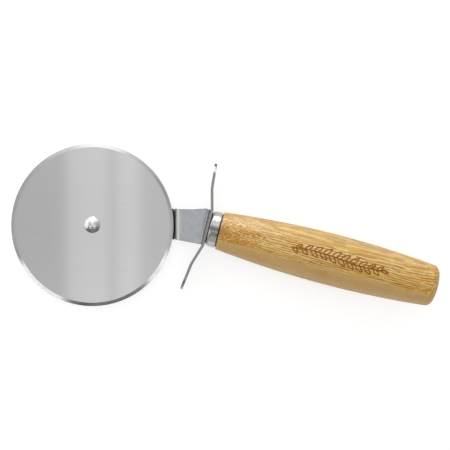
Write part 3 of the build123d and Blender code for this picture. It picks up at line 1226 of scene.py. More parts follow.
    @staticmethod
    def _near(
        sketch: NodeSketch, vector: Socket, places: Iterable[Mark], size: Triple, core: float
    ) -> Socket:
        """Returns how strongly each point of the wood is marked.

        Args:
            sketch: The material's sketch.
            vector: The cutter's coordinates.
            places: The marked places.
            size: How far a place reaches along each axis.
            core: Share of the reach within which its strength is full.

        Returns:
            The strength, from 0 to 1.
        """
        total: Any = 0.0
        for *place, strength in places:
            offset = sketch.vector("SUBTRACT", vector, tuple(place))
            reach = sketch.measured("LENGTH", sketch.stretched(offset, size))
            total = sketch.math("ADD", total, sketch.ramp(reach, 1.0, core, 0.0, strength))
        return sketch.math("MINIMUM", total, 1.0)

    def _warped(self, sketch: NodeSketch, vector: Socket, knot: Socket) -> Socket:
        """Returns the coordinates with the grain's wander, strongest at the knots.

        Args:
            sketch: The material's sketch.
            vector: The cutter's coordinates.
            knot: 1 at a knot, and 0 away from it.

        Returns:
            Coordinates that follow the grain.
        """
        middle = (0.5, 0.5, 0.5)
        slow = sketch.noise(sketch.stretched(vector, self.warp_spots), 1.0)
        wander = sketch.vector("SUBTRACT", slow.outputs["Color"], middle)
        local = sketch.noise(vector, self.swirl_scale)
        swirl = sketch.vector("SUBTRACT", local.outputs["Color"], middle)
        strength = sketch.math("MULTIPLY_ADD", knot, self.swirl[1], self.swirl[0])
        moved = sketch.vector("ADD", vector, sketch.vector("MULTIPLY", wander, self.warp))
        return sketch.vector("ADD", moved, sketch.scaled(swirl, strength))

    def _bundles(self, sketch: NodeSketch, grain: Socket, plain: Socket, front: Socket) -> Socket:
        """Returns the cut fibre bundles: long thin lines, which break up into short dashes at the front.

        Args:
            sketch: The material's sketch.
            grain: Coordinates that follow the grain.
            plain: 1 on the strip that shows few bundles.
            front: 1 at the handle's front.

        Returns:
            The bundles' strength.
        """
        _, across, deep = sketch.split(grain)
        drift = sketch.spots(grain, self.drift_spots, 1.0)
        phase = sketch.weighted(*zip((across, deep, drift), self.row_weights))
        rows = sketch.math("MULTIPLY", sketch.math("SINE", phase), self.row_height)
        long = sketch.spots(grain, self.line_spots, 0.0)
        lines = sketch.math(
            "MULTIPLY_ADD", long, self.line_level[0], sketch.math("ADD", rows, self.line_level[1])
        )
        short = sketch.spots(grain, self.dash_spots, 0.0)
        dashes = sketch.math("ADD", short, sketch.math("MULTIPLY_ADD", rows, *self.dash_level))
        value = sketch.math("MULTIPLY_ADD", sketch.math("SUBTRACT", dashes, lines), front, lines)
        strength = sketch.ramp(value, *self.bundle_edge)
        for share in (
            sketch.ramp(sketch.spots(grain, self.patch_spots, 1.0), *self.patch_edge),
            sketch.ramp(across, *self.faded_side),
            sketch.math("MULTIPLY_ADD", plain, -self.plain_loss, 1.0),
        ):
            strength = sketch.math("MULTIPLY", strength, share)
        return strength


@dataclass(frozen=True)
class BurntFinish:
    """Lines burnt into the lacquered bamboo."""

    name: str = "burnt_bamboo"
    deep: Triple = (0.21, 0.072, 0.010)  # colour of a well burnt place
    faint: Triple = (0.34, 0.135, 0.022)  # colour where the burn is light
    char_spots: Triple = (1.6, 0.7, 0.7)  # size of its spots, in millimetres
    roughness: float = 0.6  # of the charred surface
    roughness_play: float = 0.1  # how far it falls and rises
    depth: float = 4e-5  # height of the marks in the Bump node, in metres
    shine: float = 0.15  # the shader's specular level

    def material(self, tool: ToolFrame) -> Material:
        """Builds the material.

        Args:
            tool: The cutter's frame.

        Returns:
            The material.
        """
        material, sketch, shader = principled(self.name)
        char = sketch.spots(tool_coordinates(sketch, tool), self.char_spots)
        low, high = self.roughness - self.roughness_play, self.roughness + self.roughness_play
        share = sketch.ramp(char, *NOISE_RANGE)
        looks = {
            "Base Color": sketch.blend(share, opaque(self.deep), opaque(self.faint)),
            "Roughness": sketch.ramp(char, *WIDE_RANGE, low, high),
            "Normal": sketch.bump(char, self.depth),
            "Specular IOR Level": self.shine,
        }
        sketch.fill(shader, looks)
        return material


# The cutter's pieces


@dataclass
class CuttingWheel:
    """The ground steel disc."""

    radius: float  # to the cutting edge
    thickness: float  # between its two flat faces
    bevel_width: float = 1.9  # width of each ground bevel
    edge_thickness: float = 0.15  # of the edge that is left
    bore_radius: float = 3.05  # of the hole for the rivet
    lay_lean: float = radians(-1.6)  # turn of the brushing from the neck's direction
    bore_ease: float = 0.1  # rounding of the bore's edges
    shoulder_ease: float = 0.25  # rounding between a face and its bevel
    edge_ease: float = 0.03  # rounding of the cutting edge's two corners
    segments: int = 256  # number of faces round the wheel
    lay_scale: float = 5.0  # lay map's units in one metre
    centre: Vector = field(default_factory=Vector)  # in the cutter's frame

    @classmethod
    def from_frame(cls, tool: ToolFrame, node: Piece) -> CuttingWheel:
        """Takes the wheel's main sizes from its CAD node."""
        low, high = tool.extent(node)
        return cls((high.x - low.x) / 2, high.z - low.z, centre=(low + high) / 2)

    def axle(self) -> Matrix:
        """Returns the matrix that takes a turning's x axis to the wheel's axis."""
        axes = Matrix(((0, 1, 0), (0, 0, 1), (1, 0, 0))).to_4x4()
        return Matrix.Translation(self.centre) @ axes

    def build(self, shop: Workshop, finish: Material, bevel: Material) -> Piece:
        """Builds the disc and its lay map.

        Args:
            shop: Where pieces are made.
            finish: The disc's material.
            bevel: The material of its two bevels and its edge.

        Returns:
            The wheel.
        """
        half, edge = self.thickness / 2, self.edge_thickness / 2
        shoulder = self.radius - self.bevel_width
        upper = [(0.0, self.bore_radius), (half, self.bore_radius), (half, shoulder), (edge, self.radius)]
        eases = [0.0, self.bore_ease, self.shoulder_ease, self.edge_ease]
        corners = upper + [(-x, radius) for x, radius in upper[::-1]]
        profile = fillet_line(corners, eases + eases[::-1], steps=4)
        wheel = shop.turn("ground_wheel", profile, self.segments, self.axle(), finish)
        wheel.data.materials.append(bevel)
        along, across, axis = shop.tool.picture_axes(self.lay_lean)
        middle = shop.tool.point(*self.centre)
        for face in wheel.data.polygons:
            reach = (face.center - middle).cross(axis).length / MM
            face.material_index = int(reach > shoulder)
        lay = wheel.data.uv_layers.new(name="lay")
        for loop in wheel.data.loops:
            place = wheel.data.vertices[loop.vertex_index].co
            lay.data[loop.index].uv = (self.lay_scale * across.dot(place), -self.lay_scale * along.dot(place))
        return wheel

    def dress(self, shop: Workshop, finish: Material, bevel: Material) -> None:
        """Builds the wheel and lets it stand for its CAD node."""
        shop.hand_over(self.build(shop, finish, bevel), "wheel", "wheel_steel", "cutting_wheel")


@dataclass
class Axle:
    """The domed rivet and the two washers that it clamps."""

    wheel: CuttingWheel  # the wheel on it, which gives the axis
    head_radius: float  # of the domed head
    top: float  # height of the head's top
    bottom: float  # height of the tail's lowest point
    head_rim: float = 0.5  # height of the head's upright rim
    head_seat: float = 0.7  # height of the head's underside over the wheel's middle plane
    head_ease: float = 0.2  # rounding of the head's lower edge
    head_segments: int = 96  # number of faces round the rivet
    shoulder_radius: float = 3.0  # of the part that the wheel turns on
    tenon_radius: float = 2.0  # of the part in the neck and the washers
    hole_clearance: float = 0.05  # round the tenon
    tail_seat: float = -3.7  # height of the washer's underside
    tail_radius: float = 3.2  # of the peened tail
    spacer_radius: float = 5.0  # of the washer between wheel and neck
    spacer_bottom: float = -1.6  # height of its underside
    washer_radius: float = 4.3  # of the washer under the neck
    washer_top: float = -3.1  # height of its upper face
    ring_eases: Pair = (0.08, 0.15)  # rounding of a washer's inner and outer edges
    ring_segments: int = 80  # number of faces round a washer

    @classmethod
    def from_frame(cls, tool: ToolFrame, node: Piece, wheel: CuttingWheel) -> Axle:
        """Takes the rivet's main sizes from its CAD node."""
        low, high = tool.extent(node)
        return cls(wheel, (high.x - low.x) / 2, high.z, low.z)

    def rivet(self, shop: Workshop, finish: Material) -> Piece:
        """Builds the rivet, its head's rim and underside slightly rounded.

        Args:
            shop: Where pieces are made.
            finish: The rivet's material.

        Returns:
            The rivet.
        """
        rim = (self.head_seat + self.head_rim, self.head_radius)
        shank = fillet_line(
            [
                rim,
                (self.head_seat, self.head_radius),
                (self.head_seat, self.shoulder_radius),
                (-self.head_seat, self.shoulder_radius),
                (-self.head_seat, self.tenon_radius),
                (self.tail_seat, self.tenon_radius),
                (self.tail_seat, self.tail_radius),
            ],
            [0, self.head_ease, 0, 0, 0, 0, 0],
        )
        tail = dome(self.bottom, (self.tail_seat, self.tail_radius))[::-1]
        profile = dome(self.top, rim)[:-1] + shank[:-1] + tail
        return shop.turn("domed_rivet", profile, self.head_segments, self.wheel.axle(), finish)

    def ring(self, shop: Workshop, name: str, levels: Pair, radius: float, finish: Material) -> Piece:
        """Builds one washer with eased edges.

        Args:
            shop: Where pieces are made.
            name: The washer's name.
            levels: Its lower and upper face.
            radius: Its outer radius.
            finish: Its material.

        Returns:
            The washer.
        """
        low, high = levels
        bore = self.tenon_radius + self.hole_clearance
        middle = (low + high) / 2
        inner, outer = self.ring_eases
        profile = fillet_line(
            [(middle, bore), (high, bore), (high, radius), (low, radius), (low, bore), (middle, bore)],
            [0, inner, outer, outer, inner, 0],
            steps=3,
        )
        return shop.turn(name, profile, self.ring_segments, self.wheel.axle(), finish)

    def dress(self, shop: Workshop, bright: Material, plain: Material) -> None:
        """Builds the rivet and the washers and lets them stand for their CAD nodes.

        Args:
            shop: Where pieces are made.
            bright: The rivet's material.
            plain: The washers' material.
        """
        shop.hand_over(self.rivet(shop, bright), "handle", "bright_rivet", "axle_rivet")
        for name, node, levels, radius in (
            ("spacer", "spacer_washer", (self.spacer_bottom, -self.head_seat), self.spacer_radius),
            ("backing_washer", "tail_washer", (self.tail_seat, self.washer_top), self.washer_radius),
        ):
            shop.hand_over(self.ring(shop, name, levels, radius, plain), "handle", "washer_steel", node)


@dataclass
class NeckArm:
    """The sheet arm: a low strip under the wheel, a joggle, a flat deck and a flange."""

    wheel: CuttingWheel  # the wheel, from whose centre the strip is laid out
    thickness: float = 1.5  # of the sheet
    low_level: float = -2.35  # the strip's middle surface under the wheel
    deck_level: float = 5.25  # the deck's middle surface
    end_radius: float = 7.5  # of the round end under the rivet
    joggle_half_width: float = 8.6  # half the strip's width at the joggle
    joggle_shift: float = 0.5  # its middle there, from the line through the rivet
    joggle_angle: float = radians(80)  # steepness of the wall between the two levels
    joggle_radius: float = 1.75  # of its bends, in the sheet's middle
    rim_clearance: float = 0.95  # from the wheel's rim to the wall
    strip_start: float = 2.0  # where the bent line begins, from the wheel's centre
    deck_start: float = 6.0  # length of the deck that is laid out with the joggle
    flange_middle: float = -2.25  # place of the flange's middle surface
    flange_half_width: float = 10.0
    flange_drop: float = 7.2  # from the handle's axis down to the flange's lower edge
    corner_radius: float = 5.5  # of the flange's lower corners
    bend_radii: Pair = (1.22, 2.58)  # of the flange's bend at -Y and at +Y
    bend_steps: int = 10  # number of rules in a bend
    end_steps: int = 12  # number of rules in the round end, and in the flange's corners
    columns: int = 17  # number of vertices across the sheet
    edge_radius: float = 0.22  # rounding of the cut edges

    def _plan(self, along: float, across: float) -> Vector:
        """Returns a point laid out from the wheel's centre along the neck, in the cutter's frame."""
        turned = Matrix.Rotation(NECK_SLANT, 3, "Z") @ Vector((along, across, 0.0))
        return turned + Vector((self.wheel.centre.x, self.wheel.centre.y, 0.0))

    def _edge_at(self, along: float, side: int, foot: float) -> Vector:
        """Returns the plan point of one edge at a distance along the neck.

        Args:
            along: Distance from the wheel's centre.
            side: -1 or 1, the edge's side.
            foot: Distance of the joggle's foot.

        Returns:
            The point, still at height 0.
        """
        flange_corner = Vector((self.flange_middle, side * self.flange_half_width, 0.0)) - self._plan(0, 0)
        corner = Matrix.Rotation(-NECK_SLANT, 3, "Z") @ flange_corner
        joggle = self.joggle_shift + side * self.joggle_half_width
        if along < foot:
            share = along / foot
            return self._plan(along, side * self.end_radius * (1 - share) + joggle * share)
        share = (along - foot) / (corner.x - foot)
        return self._plan(along, joggle + (corner.y - joggle) * share)

    def _strip_rows(self) -> list[Rule]:
        """Returns the rules from the round end to the deck's first stretch.

        Returns:
            Near and far point of each rule.
        """
        wall = self.wheel.radius + self.rim_clearance + self.thickness / 2 / sin(self.joggle_angle)
        foot = wall + self.low_level / tan(self.joggle_angle)
        head = wall + self.deck_level / tan(self.joggle_angle)
        rows = []
        for step in range(self.end_steps + 1):
            along = -self.end_radius * cos(pi / 2 * step / self.end_steps)
            half = sqrt(max(self.end_radius**2 - along**2, LEAST_SQUARE))
            rows.append((self._plan(along, -half), self._plan(along, half)))
        for near, far in rows:
            near.z = far.z = self.low_level
        start, stop = (self.strip_start, self.low_level), (head + self.deck_start, self.deck_level)
        line = fillet_line(
            [start, (foot, self.low_level), (head, self.deck_level), stop],
            [0, self.joggle_radius, self.joggle_radius, 0],
            self.bend_steps,
        )
        for along, level in line:
            near, far = self._edge_at(along, -1, foot), self._edge_at(along, 1, foot)
            near.z = far.z = level
            rows.append((near, far))
        return rows

    def _flange_rows(self) -> list[Rule]:
        """Returns the rules of the bend, which widens to +Y, and of the flange under it.

        Returns:
            Near and far point of each rule.
        """
        rows = []
        for step in range(self.bend_steps + 1):
            turn = pi / 2 * step / self.bend_steps
            pair = []
            for side, radius in zip((-1, 1), self.bend_radii):
                x = self.flange_middle - radius * (1 - sin(turn))
                z = self.deck_level - radius * (1 - cos(turn))
                pair.append(Vector((x, side * self.flange_half_width, z)))
            rows.append((pair[0], pair[1]))
        straight_end = self.corner_radius - self.flange_drop
        for step in range(self.end_steps + 1):
            turn = pi / 2 * step / self.end_steps
            z = straight_end - self.corner_radius * sin(turn)
            half = self.flange_half_width - self.corner_radius * (1 - cos(turn))
            rows.append((Vector((self.flange_middle, -half, z)), Vector((self.flange_middle, half, z))))
        return rows

    def build(self, shop: Workshop, finish: Material) -> Piece:
        """Builds the arm from its rules."""
        rows = self._strip_rows() + self._flange_rows()
        return shop.sheet("neck_sheet", rows, self.columns, self.thickness, self.edge_radius, finish)

    def dress(self, shop: Workshop, finish: Material) -> None:
        """Builds the arm and lets it stand for its CAD node."""
        shop.hand_over(self.build(shop, finish), "handle", "neck_steel", "neck_arm")


@dataclass
class FingerGuard:
    """The bent strip across the ferrule's front."""

    thickness: float = 1.5  # of the strip
    middle: float = -0.75  # place of its middle surface
    middle_radius: float = 8.0  # half its width in the middle
    tip_radius: float = 5.5  # of its round tips
    root: float = 10.3  # distance of the inner bends across the handle
    root_run: float = 11.2  # from the inner to the outer bends, across the handle
    tip_runs: Pair = (15.2, 14.0)  # from the outer bends to the tips, the one at -Y first
    root_angles: Pair = (17.6, 14.9)  # degrees forward between the bends, at -Y first
    tip_angles: Pair = (7.6, 5.3)  # degrees forward past the outer bends, at -Y first
    radii: Pair = (18.0, 2.0)  # of the outer and the inner bends
    least_square: float = 1e-4  # of half the width at the tips, which keeps their last rule from closing
    row_length: float = 1.2  # longest step between two rules
    columns: int = 13  # number of vertices across the strip
    edge_radius: float = 0.15  # rounding of the cut edges

    def _wing(self, index: int) -> list[Point]:
        """Returns one wing's tip, knee and root.

        Args:
            index: 0 for the wing at -Y, 1 for the other.

        Returns:
            The three points, in x and y.
        """
        side = (-1, 1)[index]
        knee_x = self.middle - self.root_run * tan(radians(self.root_angles[index]))
        tip_x = knee_x - self.tip_runs[index] * tan(radians(self.tip_angles[index]))
        knee = self.root + self.root_run
        return [
            (tip_x, side * (knee + self.tip_runs[index])),
            (knee_x, side * knee),
            (self.middle, side * self.root),
        ]

    def _half_width(self, y: float) -> float:
        """Returns half the strip's width at a distance across the handle.

        Args:
            y: The distance, in the cutter's frame.

        Returns:
            Half the width.
        """
        index = 0 if y < 0 else 1
        reach = abs(y)
        tip_centre = self.root + self.root_run + self.tip_runs[index] - self.tip_radius
        lean = (self.middle_radius - self.tip_radius) / tip_centre
        if reach < self.middle_radius * lean:
            return sqrt(self.middle_radius**2 - reach**2)
        if reach < tip_centre + self.tip_radius * lean:
            slope = lean / sqrt(1 - lean**2)
            return self.middle_radius / sqrt(1 - lean**2) - reach * slope
        return sqrt(max(self.tip_radius**2 - (reach - tip_centre) ** 2, self.least_square))

    def _path(self) -> list[Point]:
        """Returns closely spaced points along the strip, closest at the round tips.

        Returns:
            The points, in x and y.
        """
        corners = self._wing(0) + self._wing(1)[::-1]
        outer, inner = self.radii
        line = fillet_line(corners, [0, outer, inner, inner, outer, 0], steps=10)
        path: list[Point] = []
        for start, stop in zip(line, line[1:]):
            pieces = max(1, ceil(hypot(stop[0] - start[0], stop[1] - start[1]) / self.row_length))
            shares = [step / pieces for step in range(pieces)]
            if start == line[0]:
                shares = [1 - cos(pi / 2 * share) for share in shares]
            if stop == line[-1]:
                shares = [sin(pi / 2 * share) for share in shares]
            path += [
                (start[0] + (stop[0] - start[0]) * share, start[1] + (stop[1] - start[1]) * share)
                for share in shares
            ]
        return path + [line[-1]]

    def build(self, shop: Workshop, finish: Material) -> Piece:
        """Builds the strip from its path and its width.

        Args:
            shop: Where pieces are made.
            finish: The strip's material.

        Returns:
            The guard.
        """
        rows = []
        for x, y in self._path():
            half = self._half_width(y)
            rows.append((Vector((x, y, -half)), Vector((x, y, half))))
        return shop.sheet("guard_strip", rows, self.columns, self.thickness, self.edge_radius, finish)

    def dress(self, shop: Workshop, finish: Material) -> None:
        """Builds the guard and lets it stand for its CAD node."""
        shop.hand_over(self.build(shop, finish), "handle", "guard_steel", "finger_guard")


@dataclass
class Handle:
    """The ferrule, the turned bamboo and the tang that joins them to the neck."""

    end: float  # place of the handle's free end on its axis
    belly_radius: float  # radius of its widest part
    belly: float = 68.44  # place of that part
    ferrule_length: float = 5.65  # of the cup
    ferrule_front_radius: float = 9.75  # of its front
    ferrule_mouth_radius: float = 10.1  # of its mouth
    ferrule_wall: float = 0.8  # its thickness
    ferrule_corner: float = 2.0  # rounding of its front corner
    ferrule_lips: Pair = (0.35, 0.2)  # rounding of its mouth's outer and inner edges
    ferrule_bevel: float = 1.2  # slope inside, between its front and its side
    clearance: float = 0.05  # between pieces that fit into each other
    seam: float = 0.6  # from the ferrule's mouth to the wood's shoulder
    shoulder_height: float = 0.35  # of the wood over the ferrule's mouth
    # Points of the shoulder's rounding, from its corner.
    shoulder_round: tuple[Point, ...] = ((0.0, -0.25), (0.08, -0.07), (0.25, 0.03))
    fall: float = 3.02  # of the radius, from the belly to the end's corner
    crown: float = 2.15  # height of the domed end
    end_radius: float = 3.9  # rounding of the end's corner
    tang_radius: float = 3.2  # of the rod
    tenon_radius: float = 2.2  # of its thin front part
    tang_depth: float = 58.0  # place of its end in the wood
    tang_tip: Pair = (1.2, 2.0)  # length and end radius of its tapered tip
    tang_head_radius: float = 3.3  # of its riveted head
    tang_head_height: float = 1.3  # of that head
    flange_face: float = -3.0  # place of the flange's front face
    grooves: int = 3  # number of glue grooves in the rod
    groove_pitch: float = 14.0  # from one groove to the next
    groove_width: float = 2.0
    groove_depth: float = 0.5
    # Number of faces round the ferrule, the barrel and the tang.
    segments: tuple[int, int, int] = (160, 192, 64)

    @classmethod
    def from_frame(cls, tool: ToolFrame, node: Piece) -> Handle:
        """Takes the handle's length and thickness from its CAD node."""
        low, high = tool.extent(node)
        return cls(high.x, (high.y - low.y) / 2)

    def side_points(self) -> tuple[Point, Point, Point]:
        """Returns the three points of the barrel's side: shoulder, belly and end corner.

        Returns:
            Place along the axis and radius of each.
        """
        shoulder = (self.ferrule_length + self.seam, self.ferrule_mouth_radius + self.shoulder_height)
        corner = (self.end - self.crown, self.belly_radius - self.fall)
        return shoulder, (self.belly, self.belly_radius), corner

    def side_circle(self) -> Triple:
        """Returns the centre's place and depth, and the radius, of the arc of the barrel's side."""
        return circle_through(*self.side_points())

    def ferrule(self, shop: Workshop, finish: Material) -> Piece:
        """Builds the drawn cup with its rounded front and eased lip.

        Args:
            shop: Where pieces are made.
            finish: The cup's material.

        Returns:
            The ferrule.
        """
        inside = self.ferrule_front_radius - self.ferrule_wall
        hole = self.tenon_radius + self.clearance
        outer_lip, inner_lip = self.ferrule_lips
        profile = fillet_line(
            [
                (self.ferrule_wall, hole),
                (0.0, hole),
                (0.0, self.ferrule_front_radius),
                (self.ferrule_length, self.ferrule_mouth_radius),
                (self.ferrule_length, self.ferrule_mouth_radius - self.ferrule_wall),
                (self.ferrule_wall + self.ferrule_bevel, inside),
                (self.ferrule_wall, inside - self.ferrule_bevel),
                (self.ferrule_wall, hole),
            ],
            [0, 0, self.ferrule_corner, outer_lip, inner_lip, 0, 0, 0],
            steps=8,
        )
        return shop.turn("bright_ferrule", profile, self.segments[0], Matrix(), finish)

    def barrel(self, shop: Workshop, finish: Material) -> Piece:
        """Builds the turned barrel, its tenon and its rounded, crowned end.

        Args:
            shop: Where pieces are made.
            finish: The bamboo.

        Returns:
            The barrel.
        """
        front = self.ferrule_wall + self.clearance
        inside = self.ferrule_front_radius - self.ferrule_wall - self.clearance
        mouth = self.ferrule_mouth_radius - self.ferrule_wall - self.clearance
        shoulder, belly, corner = self.side_points()
        side = arc_through(shoulder, belly, corner, steps=150)
        crown = dome(self.end, corner, steps=24)
        tenon = [
            (front, 0.0),
            (front, inside - self.ferrule_bevel),
            (front + self.ferrule_bevel, inside),
            (self.ferrule_length, mouth),
            (shoulder[0], mouth),
        ]
        start = [(shoulder[0] + x, shoulder[1] + y) for x, y in self.shoulder_round]
        reach = 1.6 * self.end_radius  # from the corner past both ends of its rounding
        gap = 0.1  # at least this far apart lie the rounding and the lines that it joins
        ends = [self._back(side, reach), corner, self._back(crown, reach)]
        eased = fillet_line(ends, [0, self.end_radius, 0], steps=14)[1:-1]
        side = [p for p in side[1:] if p[0] < eased[0][0] - gap]
        crown = [p for p in crown[::-1] if p[1] < eased[-1][1] - gap]
        profile = tenon + start + side + eased + crown
        return shop.turn("bamboo_barrel", profile, self.segments[1], Matrix(), finish)

    @staticmethod
    def _back(line: list[Point], distance: float) -> Point:
        """Returns the point of a line that lies a distance back from its last point."""
        end = Vector(line[-1])
        return next((p for p in reversed(line) if (Vector(p) - end).length >= distance), line[0])

    def tang(self, shop: Workshop, finish: Material) -> Piece:
        """Builds the grooved rod with its riveted head.

        Args:
            shop: Where pieces are made.
            finish: The rod's material.

        Returns:
            The tang.
        """
        head_rim = (self.flange_face, self.tang_head_radius)
        profile = dome(self.flange_face - self.tang_head_height, head_rim, steps=10)
        profile += [
            (self.flange_face, self.tenon_radius),
            (self.ferrule_wall, self.tenon_radius),
            (self.ferrule_wall, self.tang_radius),
        ]
        floor = self.tang_radius - self.groove_depth
        for groove in range(self.grooves, 0, -1):
            place = self.tang_depth - self.groove_pitch * groove
            start, stop = place - self.groove_width / 2, place + self.groove_width / 2
            profile += [(start, self.tang_radius), (start, floor), (stop, floor), (stop, self.tang_radius)]
        tip_length, tip_radius = self.tang_tip
        tip_start = (self.tang_depth - tip_length, self.tang_radius)
        profile += [tip_start, (self.tang_depth, tip_radius), (self.tang_depth, 0.0)]
        return shop.turn("tang_rod", profile, self.segments[2], Matrix(), finish)

    def dress(self, shop: Workshop, bright: Material, wood: Material, plain: Material) -> None:
        """Builds the three pieces and lets them stand for their CAD nodes.

        Args:
            shop: Where pieces are made.
            bright: The ferrule's material.
            wood: The bamboo.
            plain: The tang's material.
        """
        shop.hand_over(self.ferrule(shop, bright), "handle", "ferrule_steel", "ferrule")
        shop.hand_over(self.barrel(shop, wood), "handle", "bamboo", "bamboo_handle")
        shop.hand_over(self.tang(shop, plain), "handle", "tang_steel", "handle_tang")


@dataclass
class BurntSprig:
    """A plain leafy sprig burnt into the handle: a stem with pairs of leaf outlines."""

    handle: Handle  # the handle that it lies on
    start: float = 46.5  # where the stem begins, in the cutter's x
    length: float = 51.0  # of the stem
    middle: float = 1.4  # the stem's middle, in the cutter's y
    wave: float = 56.0  # length of the stem's one slow wave
    sway: float = 0.9  # height of that wave
    line_width: float = 0.7  # of the burnt lines
    leaf: Pair = (5.6, 1.15)  # length and half width of the largest leaves
    # A leaf's fullness at its foot, what is gone of it at the tip, and its bluntness.
    leaf_shape: Triple = (1.25, 0.6, 0.8)
    leaf_lean: float = radians(36)  # angle of the leaves to the stem's level
    leaf_shift: float = 0.9  # of one leaf of a pair along the stem, and of the other back
    pairs: int = 10  # number of leaf pairs
    first_pair: float = 0.35  # place of the first pair, where 1 is the distance between pairs
    small_leaf: float = 0.62  # scale of the smallest leaves
    small_share: float = 0.7  # how fast the leaves grow to full size towards the sprig's middle
    end_leaf: Pair = (radians(2), 0.7)  # lean and scale of the leaf at the stem's end
    stem_steps: int = 130  # number of short runs in the stem
    leaf_steps: int = 14  # number of short runs in one side of a leaf
    lift: float = 0.02  # height of the lines over the wood
    depth: float = 0.05  # how far they reach down

    def _stem_point(self, place: float) -> Point:
        """Returns the stem's point at a length from its start."""
        return self.start + place, self.middle + self.sway * sin(2 * pi * place / self.wave)

    def _stem(self) -> list[Point]:
        """Returns the waving stem."""
        return [self._stem_point(self.length * i / self.stem_steps) for i in range(self.stem_steps + 1)]

    def _leaf(self, place: float, lean: float, scale: float) -> list[Point]:
        """Returns one leaf's outline, which begins and ends on the stem.

        Args:
            place: Where it grows, as a length from the stem's start.
            lean: Its angle to the stem's level.
            scale: Its size against the largest leaf.

        Returns:
            The outline's points.
        """
        x, y = self._stem_point(place)
        length, half = self.leaf[0] * scale, self.leaf[1] * scale
        foot, gone, bluntness = self.leaf_shape
        shares = [i / self.leaf_steps for i in range(self.leaf_steps + 1)]
        side = [(length * u, half * sin(pi * u) ** bluntness * (foot - gone * u)) for u in shares]
        outline = side + [(u, -v) for u, v in side[-2::-1]]
        return [(x + u * cos(lean) - v * sin(lean), y + u * sin(lean) + v * cos(lean)) for u, v in outline]

    def _lines(self) -> list[list[Point]]:
        """Returns every line of the sprig.

        Returns:
            The stem and the leaves.
        """
        lines = [self._stem()]
        for i in range(self.pairs):
            share = (i + self.first_pair) / self.pairs
            scale = self.small_leaf + (1 - self.small_leaf) * sin(pi * share) ** self.small_share
            for side in (-1, 1):
                place = share * self.length + side * self.leaf_shift
                lines.append(self._leaf(place, side * self.leaf_lean, scale))
        lines.append(self._leaf(self.length, *self.end_leaf))
        return lines

    def dress(self, shop: Workshop, finish: Material) -> None:
        """Builds the sprig and puts it on the handle.

        Args:
            shop: Where pieces are made.
            finish: The burnt lines' material.
        """
        place, depth, radius = self.handle.side_circle()
        values = {
            "Width": self.line_width,
            "Arc Place": place,
            "Arc Depth": depth,
            "Arc Radius": radius,
            "Lift": self.lift,
        }
        sprig = shop.burn("burnt_sprig", self._lines(), values, self.depth, finish)
        shop.hand_over(sprig, "handle", "bamboo")


# The studio


class RoomWay(Enum):
    """The direction across the picture in which the room's light changes."""

    UP = "to the picture's top"
    RIGHT = "to its right"
    CORNER = "to its upper right corner"


@dataclass(frozen=True)
class Softbox:
    """One soft lamp that looks at the cutter."""

    name: str
    place: Triple  # from its target, to the picture's right, up, and towards the camera, in metres
    size: Pair  # its width and height, in metres
    radiance: float  # brightness of its face, where 1 is white
    spin: float = 0.0  # turn of its width from the picture's level, in degrees
    reflected: bool = True  # whether polished surfaces show it
    lights: bool = True  # whether matt surfaces are lit by it
    on_wheel: bool = True  # whether it looks at the wheel's middle, or else at the cutter's

    def build(self, tool: ToolFrame, target: Vector) -> None:
        """Makes the lamp and turns it to the target.

        Args:
            tool: The cutter's frame.
            target: The point that it looks at.
        """
        lamp = bpy.data.lights.new(self.name, "AREA")
        lamp.shape = "RECTANGLE"
        lamp.size, lamp.size_y = self.size
        lamp.energy = self.radiance * pi * self.size[0] * self.size[1]
        piece = bpy.data.objects.new(self.name, lamp)
        level = Matrix.Rotation(NECK_SLANT, 3, "Z")
        out = tool.direction(*(level @ Vector(self.place)))
        spin = radians(self.spin)
        side = tool.direction(*(level @ Vector((cos(spin), sin(spin), 0.0))))
        side = (side - out * side.dot(out)).normalized()
        turn = Matrix((side, out.cross(side), out)).transposed().to_4x4()
        place = target + out * Vector(self.place).length
        piece.matrix_world = Matrix.Translation(place) @ turn
        piece.visible_glossy = self.reflected
        piece.visible_diffuse = self.lights
        bpy.context.scene.collection.objects.link(piece)


